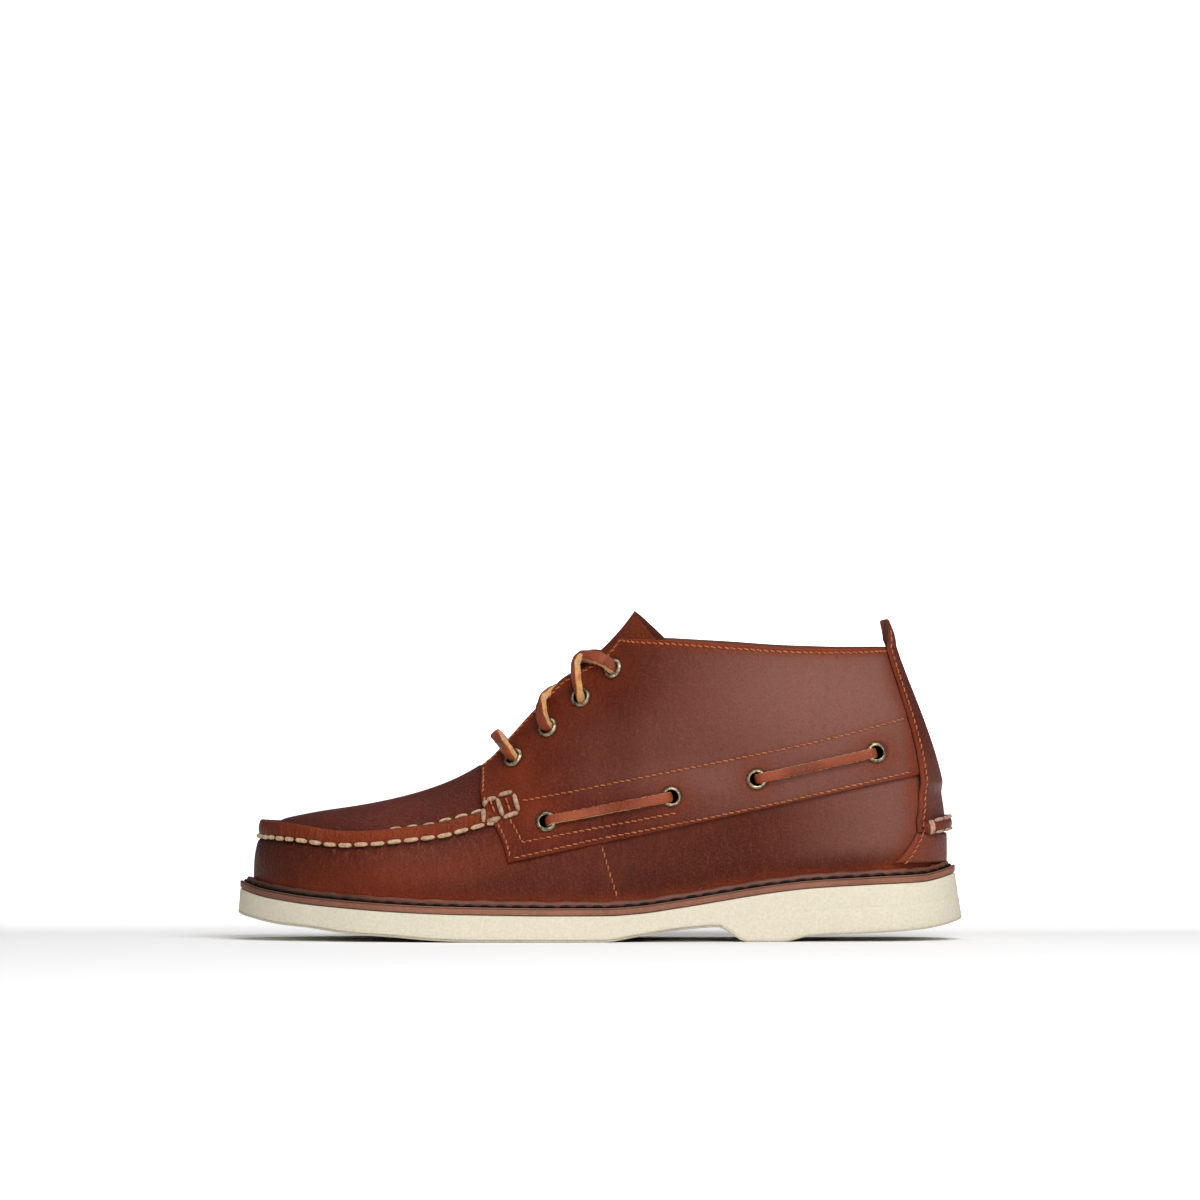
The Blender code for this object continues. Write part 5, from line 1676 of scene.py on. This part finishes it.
def build_front_laces():
    near = FACING[LATERAL]
    y1, y2, y3, y4 = (site[0][1] for site in near)
    far_side = lambda up: (up[0], -up[1], up[2])

    edge1 = facing_edge(-43.0)[1]
    path, ups = near_strap(
        near[0],
        [(510.5, 755.0), (506.0, 748.5), (501.5, 742.2), (498.0, 738.0), (496.6, 736.4)],
        [y1 - 1.8, y1 - 1.6, edge1 - 3.4, edge1 + 0.6, edge1 + 5.0],
        [(-0.62, -0.72, -0.1), (-0.74, -0.64, -0.1), (-0.8, -0.55, 0.05), (-0.88, -0.32, 0.35), (-0.72, 0, 0.7)],
    )
    far = mirrored(path)
    heap = Heap()
    middle = np.array([[path[-1][0] - 0.2, AXIS_Y, path[-1][2] + 0.1]])
    whole = np.concatenate([np.array(path), middle, far[::-1]])
    turn = ups + [(-0.66, 0, 0.75)] + [far_side(u) for u in ups[::-1]]
    lace_part(heap, whole, turn, *BAR_LACE, 180)
    done(heap.piece("lace_bar_leather", [LACE, FLESH]), "lace", "lace_bar")

    edge2 = facing_edge(-22.0)[1]
    path, ups = near_strap(
        near[1],
        [(544.2, 723.5), (541.6, 714), (541.2, 705.5), (543.4, 699.0), (547.5, 694.5), (552.0, 692.5)],
        [y2 - 2.0, y2 - 2.2, y2 - 1.4, edge2 - 3.2, edge2 - 0.2, edge2 + 4.0],
        [(-0.5, -0.8, 0.0), (-0.72, -0.68, 0.0), (-0.8, -0.6, 0.05), (-0.85, -0.45, 0.25), (-0.78, -0.3, 0.55), (-0.66, -0.1, 0.75)],
    )
    ends = view_px((556.0, 692.5), (560.0, 694.0), (563.5, 697.5), (566.0, 703.0))
    far_edge = 2 * AXIS_Y - facing_edge(-17.0)[1]
    ys = [AXIS_Y, far_edge - 4.5, far_edge - 1.0, far_edge + 1.5]
    tail = np.array([[x, y, z] for (x, z), y in zip(ends, ys)])
    tail_ups = [(-0.66, 0, 0.75), (-0.66, 0.05, 0.75), (-0.6, 0.3, 0.7), (-0.5, 0.6, 0.6)]
    heap = Heap()
    gain = np.array([0.0, 0, 0, 0, 0, 0, 0, 0.2, 0.9, 0.5, 0, 0])[:, None] * BETWEEN
    first = np.concatenate([np.array(path), tail])
    lace_part(heap, first + gain, ups + tail_ups, *LOWER_LACE, 180)
    lace_part(heap, mirrored(first) - gain, [far_side(u) for u in ups + tail_ups], *LOWER_LACE, 180)
    done(heap.piece("lace_cross_lower_leather", [LACE, FLESH]), "lace", "lace_cross_lower")

    edge3, edge4 = facing_edge(-9.5)[1], facing_edge(-5.0)[1]
    rise, rise_ups = near_strap(
        near[2],
        [(578.6, 692), (576.8, 683), (575.6, 673), (575.6, 666.5), (577.0, 661.5), (580.0, 659.5)],
        [y3 - 2.0, y3 - 2.2, y3 - 1.6, edge3 - 3.2, edge3 + 0.6, edge3 + 6.0],
        [(-0.8, -0.2, 0.2), (-0.92, -0.26, 0.2), (-0.95, -0.3, 0.15), (-0.95, -0.28, 0.2), (-0.85, -0.25, 0.5), (-0.66, -0.1, 0.75)],
    )
    spot4, out4 = near[3]
    fall_flat = view_px((580.5, 659.5), (584.0, 658.2), (590.0, 657.4), (598.5, 659.0), (606.0, 662.6), (611.0, 666.8))
    over_flap = [y4 + (facing_edge(x)[1] - y4) * share for (x, _), share in zip(fall_flat[3:], (0.62, 0.3, 0.08))]
    hits = [SOLID.side(x, z, LATERAL) for x, z in fall_flat[3:]]
    flap = [hit[0][1] if hit else y for hit, y in zip(hits, over_flap)]
    ys = [AXIS_Y, edge4 + 6.0, edge4 - 0.6, flap[0] - 2.2, flap[1] - 2.4, flap[2] - 1.7]
    fall = [np.array([x, y, z]) for (x, z), y in zip(fall_flat, ys)] + [spot4 - out4 * 0.4, spot4 - out4 * 3.4]
    fall_ups = [
        (-0.66, 0, 0.75), (-0.62, -0.15, 0.76), (-0.45, -0.55, 0.7), (-0.2, -0.85, 0.5), (0.0, -0.9, 0.4),
        (0.35, -0.8, 0.35), (0.6, -0.5, 0.4), (0.7, -0.2, 0.5),
    ]
    one = np.concatenate([np.array(rise), mirrored(fall)])
    two = np.concatenate([mirrored(rise), np.array(fall)])
    lift = np.zeros(len(one))
    lift[7], lift[8], lift[9] = 0.5, 0.9, 0.5
    heap = Heap()
    one_ups = rise_ups + [far_side(u) for u in fall_ups]
    two_ups = [far_side(u) for u in rise_ups] + fall_ups
    lace_part(heap, one - lift[:, None] * BETWEEN, one_ups, *UPPER_LACE, 200)
    lace_part(heap, two + lift[:, None] * BETWEEN, two_ups, *UPPER_LACE, 200)
    done(heap.piece("lace_cross_upper_leather", [LACE, FLESH]), "lace", "lace_cross_upper")


for side, word in SIDES:
    sites = STRAPS[side]
    for node, i in (("side_lace_front", 0), ("side_lace_rear", 2)):
        piece = side_lace(f"{node}_{word}_leather", sites[i], sites[i + 1], side)
        done(piece, "lace", f"{node}_{word}")
build_front_laces()


# Stitches


def stitch_row(heap, line, outs, pitch, length, radius, lift, look=0, slant=0.0, arc=0.3, sides=6, start=0.4):
    """Stitches one after another along a line on a surface."""
    line, outs = np.asarray(line, float), np.asarray(outs, float)
    lengths = distances(line)
    place = start
    while place + length < lengths[-1]:
        size = length * random.uniform(0.93, 1.05)
        at = np.linspace(place, place + size, 7)
        points = read_line(at, lengths, line)
        ups = unit(read_line(at, lengths, outs))
        _, sideways, up = frames(points, ups)
        rise = lift + arc * np.sin(np.linspace(0, math.pi, 7)) + random.uniform(-0.03, 0.03)
        shift = slant * np.linspace(-1, 1, 7) + random.uniform(-0.06, 0.06)
        points = points + up * rise[:, None] + sideways * shift[:, None]
        heap.add(*sweep(thread(points, up, radius * random.uniform(0.93, 1.07), sides)), look)
        place += pitch


def view_line(flat, side, target):
    """A line of the side view laid on a surface."""
    path, _ = resample(flat, step=LINE_STEP)
    hits = [target.side(x, z, side) for x, z in path]
    hits = [hit for hit in hits if hit is not None]
    return np.array([hit[0] for hit in hits]), np.array([hit[1] for hit in hits])


def grid_line(outer, distance, inset):
    """The line of a grid's columns at a distance from an edge."""
    path = []
    for column, row in zip(outer, distance):
        order = np.argsort(row)
        path.append([np.interp(inset, row[order], column[order, i]) for i in range(3)])
    return np.array(path)


def laid_line(path, target):
    """A line's points evened out, with the directions of the surface below them."""
    path, _ = resample(path, step=LINE_STEP)
    return path, np.array([target.nearest(p)[1] for p in path])


def outward(path, outs, centre_y):
    flip = np.sign((path[:, 1] - centre_y) * outs[:, 1])
    flip[flip == 0] = 1
    return outs * flip[:, None]


def orange_rows():
    heap = Heap()
    fine = {"pitch": 2.75, "length": 2.25, "radius": 0.33, "lift": 0.10, "slant": 0.28, "arc": 0.22}
    for side, _ in SIDES:
        target = Surface(QUARTERS[side])
        for line in (LINE_LOW, LINE_HIGH, LINE_INNER):
            stitch_row(heap, *view_line(line, side, target), **fine)
        grid = QUARTER_GRIDS[side]
        edge = grid_line(grid["outer"], grid["top"], COLLAR_SEAM)
        edge, outs = laid_line(edge, target)
        stitch_row(heap, edge, outward(edge, outs, AXIS_Y), **fine)
        front = grid_line(grid["outer"].transpose(1, 0, 2), grid["front"].T, FACING_SEAM)
        front = front[(grid["foot"][-1] > 1.8) & (grid["top"][-1] > 2.5)]
        front, outs = laid_line(front, target)
        outs = outward(front, outs, AXIS_Y)
        high = front[:, 2]
        for part in (high < 49.0, high > 61.0):
            if part.sum() > 6:
                stitch_row(heap, front[part], outs[part], **fine)
        vamp = Surface(UPPER)
        seam = view_px((601.4, 845.0), (617.8, 899.0))
        stitch_row(heap, *view_line(seam, side, vamp), **fine)
    for obj, grid, edges, last in (
        (STRIP, STRIP_GRID, STRIP_EDGES, -3), (COUNTER, COUNTER_GRID, COUNTER_EDGES, None),
    ):
        target, half = Surface(obj), grid.shape[1] // 2
        for turn in (1, -1):
            line = grid_line(grid[:last, ::turn][:, :half], edges[:last, ::turn][:, :half], HEEL_SEAM)
            stitch_row(heap, *laid_line(line, target), **fine)
    return heap.piece("orange_stitches", ORANGE)


def white_rows():
    """The moccasin seam's thick stitches: a low row, and a thin row on the plug side near the throat."""
    heap = Heap()
    for side, _ in SIDES:
        front = ALL_US > THROAT_RIB + 0.02
        line, _ = resample(SEAMS[side][front], step=0.5)
        centre = np.array([-60.0, AXIS_Y])
        outs = line.copy()
        outs[:, :2] -= centre
        outs[:, 2] = 0
        outs = unit(outs)
        lengths = distances(line)
        place, toe = 1.6, lengths[-1]
        top_line = resample(LIP_TOPS[side][front], step=0.5)[0]
        tops = distances(top_line)
        for k in range(7):
            s = np.linspace(1.6 + 6.9 * k, 1.6 + 6.9 * k + 5.2, 9)
            points = read_line(s, tops, top_line)
            points[:, 2] += (0.1 if k < 4 else -0.35) + 0.4 * np.sin(np.linspace(0, math.pi, 9))
            heap.add(*sweep(thread(points, np.tile([0, 0, 1.0], (9, 1)), 0.75 if k < 4 else 0.6, 8, 0.9)))
        while place < toe - 2.0:
            left = toe - place
            long = 5.7 if left > 32 else 4.4
            gap = 1.25 if left > 32 else 1.0
            if place + long > toe - 0.4:
                long = toe - 0.4 - place
            s = np.linspace(place, place + long, 11)
            points = read_line(s, lengths, line)
            ups = read_line(s, lengths, outs)
            proud = (0.42 if left > 20 else 0.15) + 0.35 * np.sin(np.linspace(0, math.pi, 11))
            points = points + ups * proud[:, None]
            points[:, 2] += random.uniform(-0.12, 0.12)
            heap.add(*sweep(thread(points, ups, 0.92 * random.uniform(0.95, 1.05), 10, 0.9)))
            place += long + gap
    return heap.piece("white_stitches", WHITE)


def box_stitches():
    """The thick crossed stitches where the seam ends on the quarter, and on the heel's roll."""
    heap = Heap()
    boxes = (
        ((483.9, 809.6), (483.9, 822.4)), ((487.6, 801.4), (496.6, 799.0)), ((497.6, 799.4), (503.4, 816.6)),
        ((487.9, 821.9), (500.9, 818.0)), ((499.4, 796.6), (512.9, 792.8)), ((514.4, 794.6), (519.4, 811.2)),
        ((504.5, 818.0), (519.0, 812.6)), ((487.0, 801.8), (484.9, 806.6)),
    )
    thin = (((485.4, 798.0), (485.0, 808.0)), ((490.6, 800.6), (492.4, 805.6)), ((492.9, 807.2), (494.8, 812.6)),
        ((506.4, 798.8), (508.2, 804.0)), ((508.7, 805.6), (510.6, 811.0)))
    for side, _ in SIDES:
        target = Surface(QUARTERS[side], UPPER)
        for pair in boxes + thin:
            line, outs = view_line(view_px(*pair), side, target)
            if len(line) < 3:
                continue
            line, _ = resample(line, count=11)
            outs = unit(np.repeat(outs.mean(0)[None], 11, 0))
            line = line + outs * (0.55 + 0.3 * np.sin(np.linspace(0, math.pi, 11)))[:, None]
            radius, look = (1.02, 0) if pair in boxes else (0.4, 1)
            heap.add(*sweep(thread(line, outs, radius, 10, 0.85)), look)
    for up in (1, -1):
        for k in range(-3, 3):
            across = np.linspace(k * 6.1 + 0.5, k * 6.1 + 5.6, 11)
            base, out = HEEL.grid([ROLL_MIDDLE + up * ROLL_WIDE * 0.30], [across])
            line = base[0] + out[0] * (ROLL_BASE + ROLL_THICK * 0.92 + 0.3)
            line[:, 2] -= ROLL_SAG * (across / ROLL_REACH) ** 2
            heap.add(*sweep(thread(line, out[0], 0.8 if up > 0 else 0.6, 8, 0.9)))
    for spot in (-19.5, -18.7, 18.7, 19.5):
        line, outs = [], []
        for turn in np.linspace(0.16, 0.84, 9) * math.pi:
            high = ROLL_MIDDLE - math.cos(turn) * ROLL_WIDE * 0.40
            base, out = HEEL.grid([high], [np.array([spot + 0.01])])
            rise = ROLL_BASE + ROLL_THICK * math.sin(turn) ** 0.6 * 0.92 + 0.35
            drop = np.array([0, 0, ROLL_SAG * (spot / ROLL_REACH) ** 2])
            line.append(base[0, 0] + out[0, 0] * rise - drop)
            outs.append(out[0, 0])
        heap.add(*sweep(thread(np.array(line), np.array(outs), 0.9, 8, 0.8)))
    return heap.piece("tie_stitches", [TIE, ORANGE])


done(orange_rows(), "leather")
done(white_rows(), "leather")
done(box_stitches(), "leather")
for obj in (*QUARTERS.values(), UPPER):
    open_holes(obj, [site for side in (LATERAL, MEDIAL) for site in FACING[side] + STRAPS[side]])
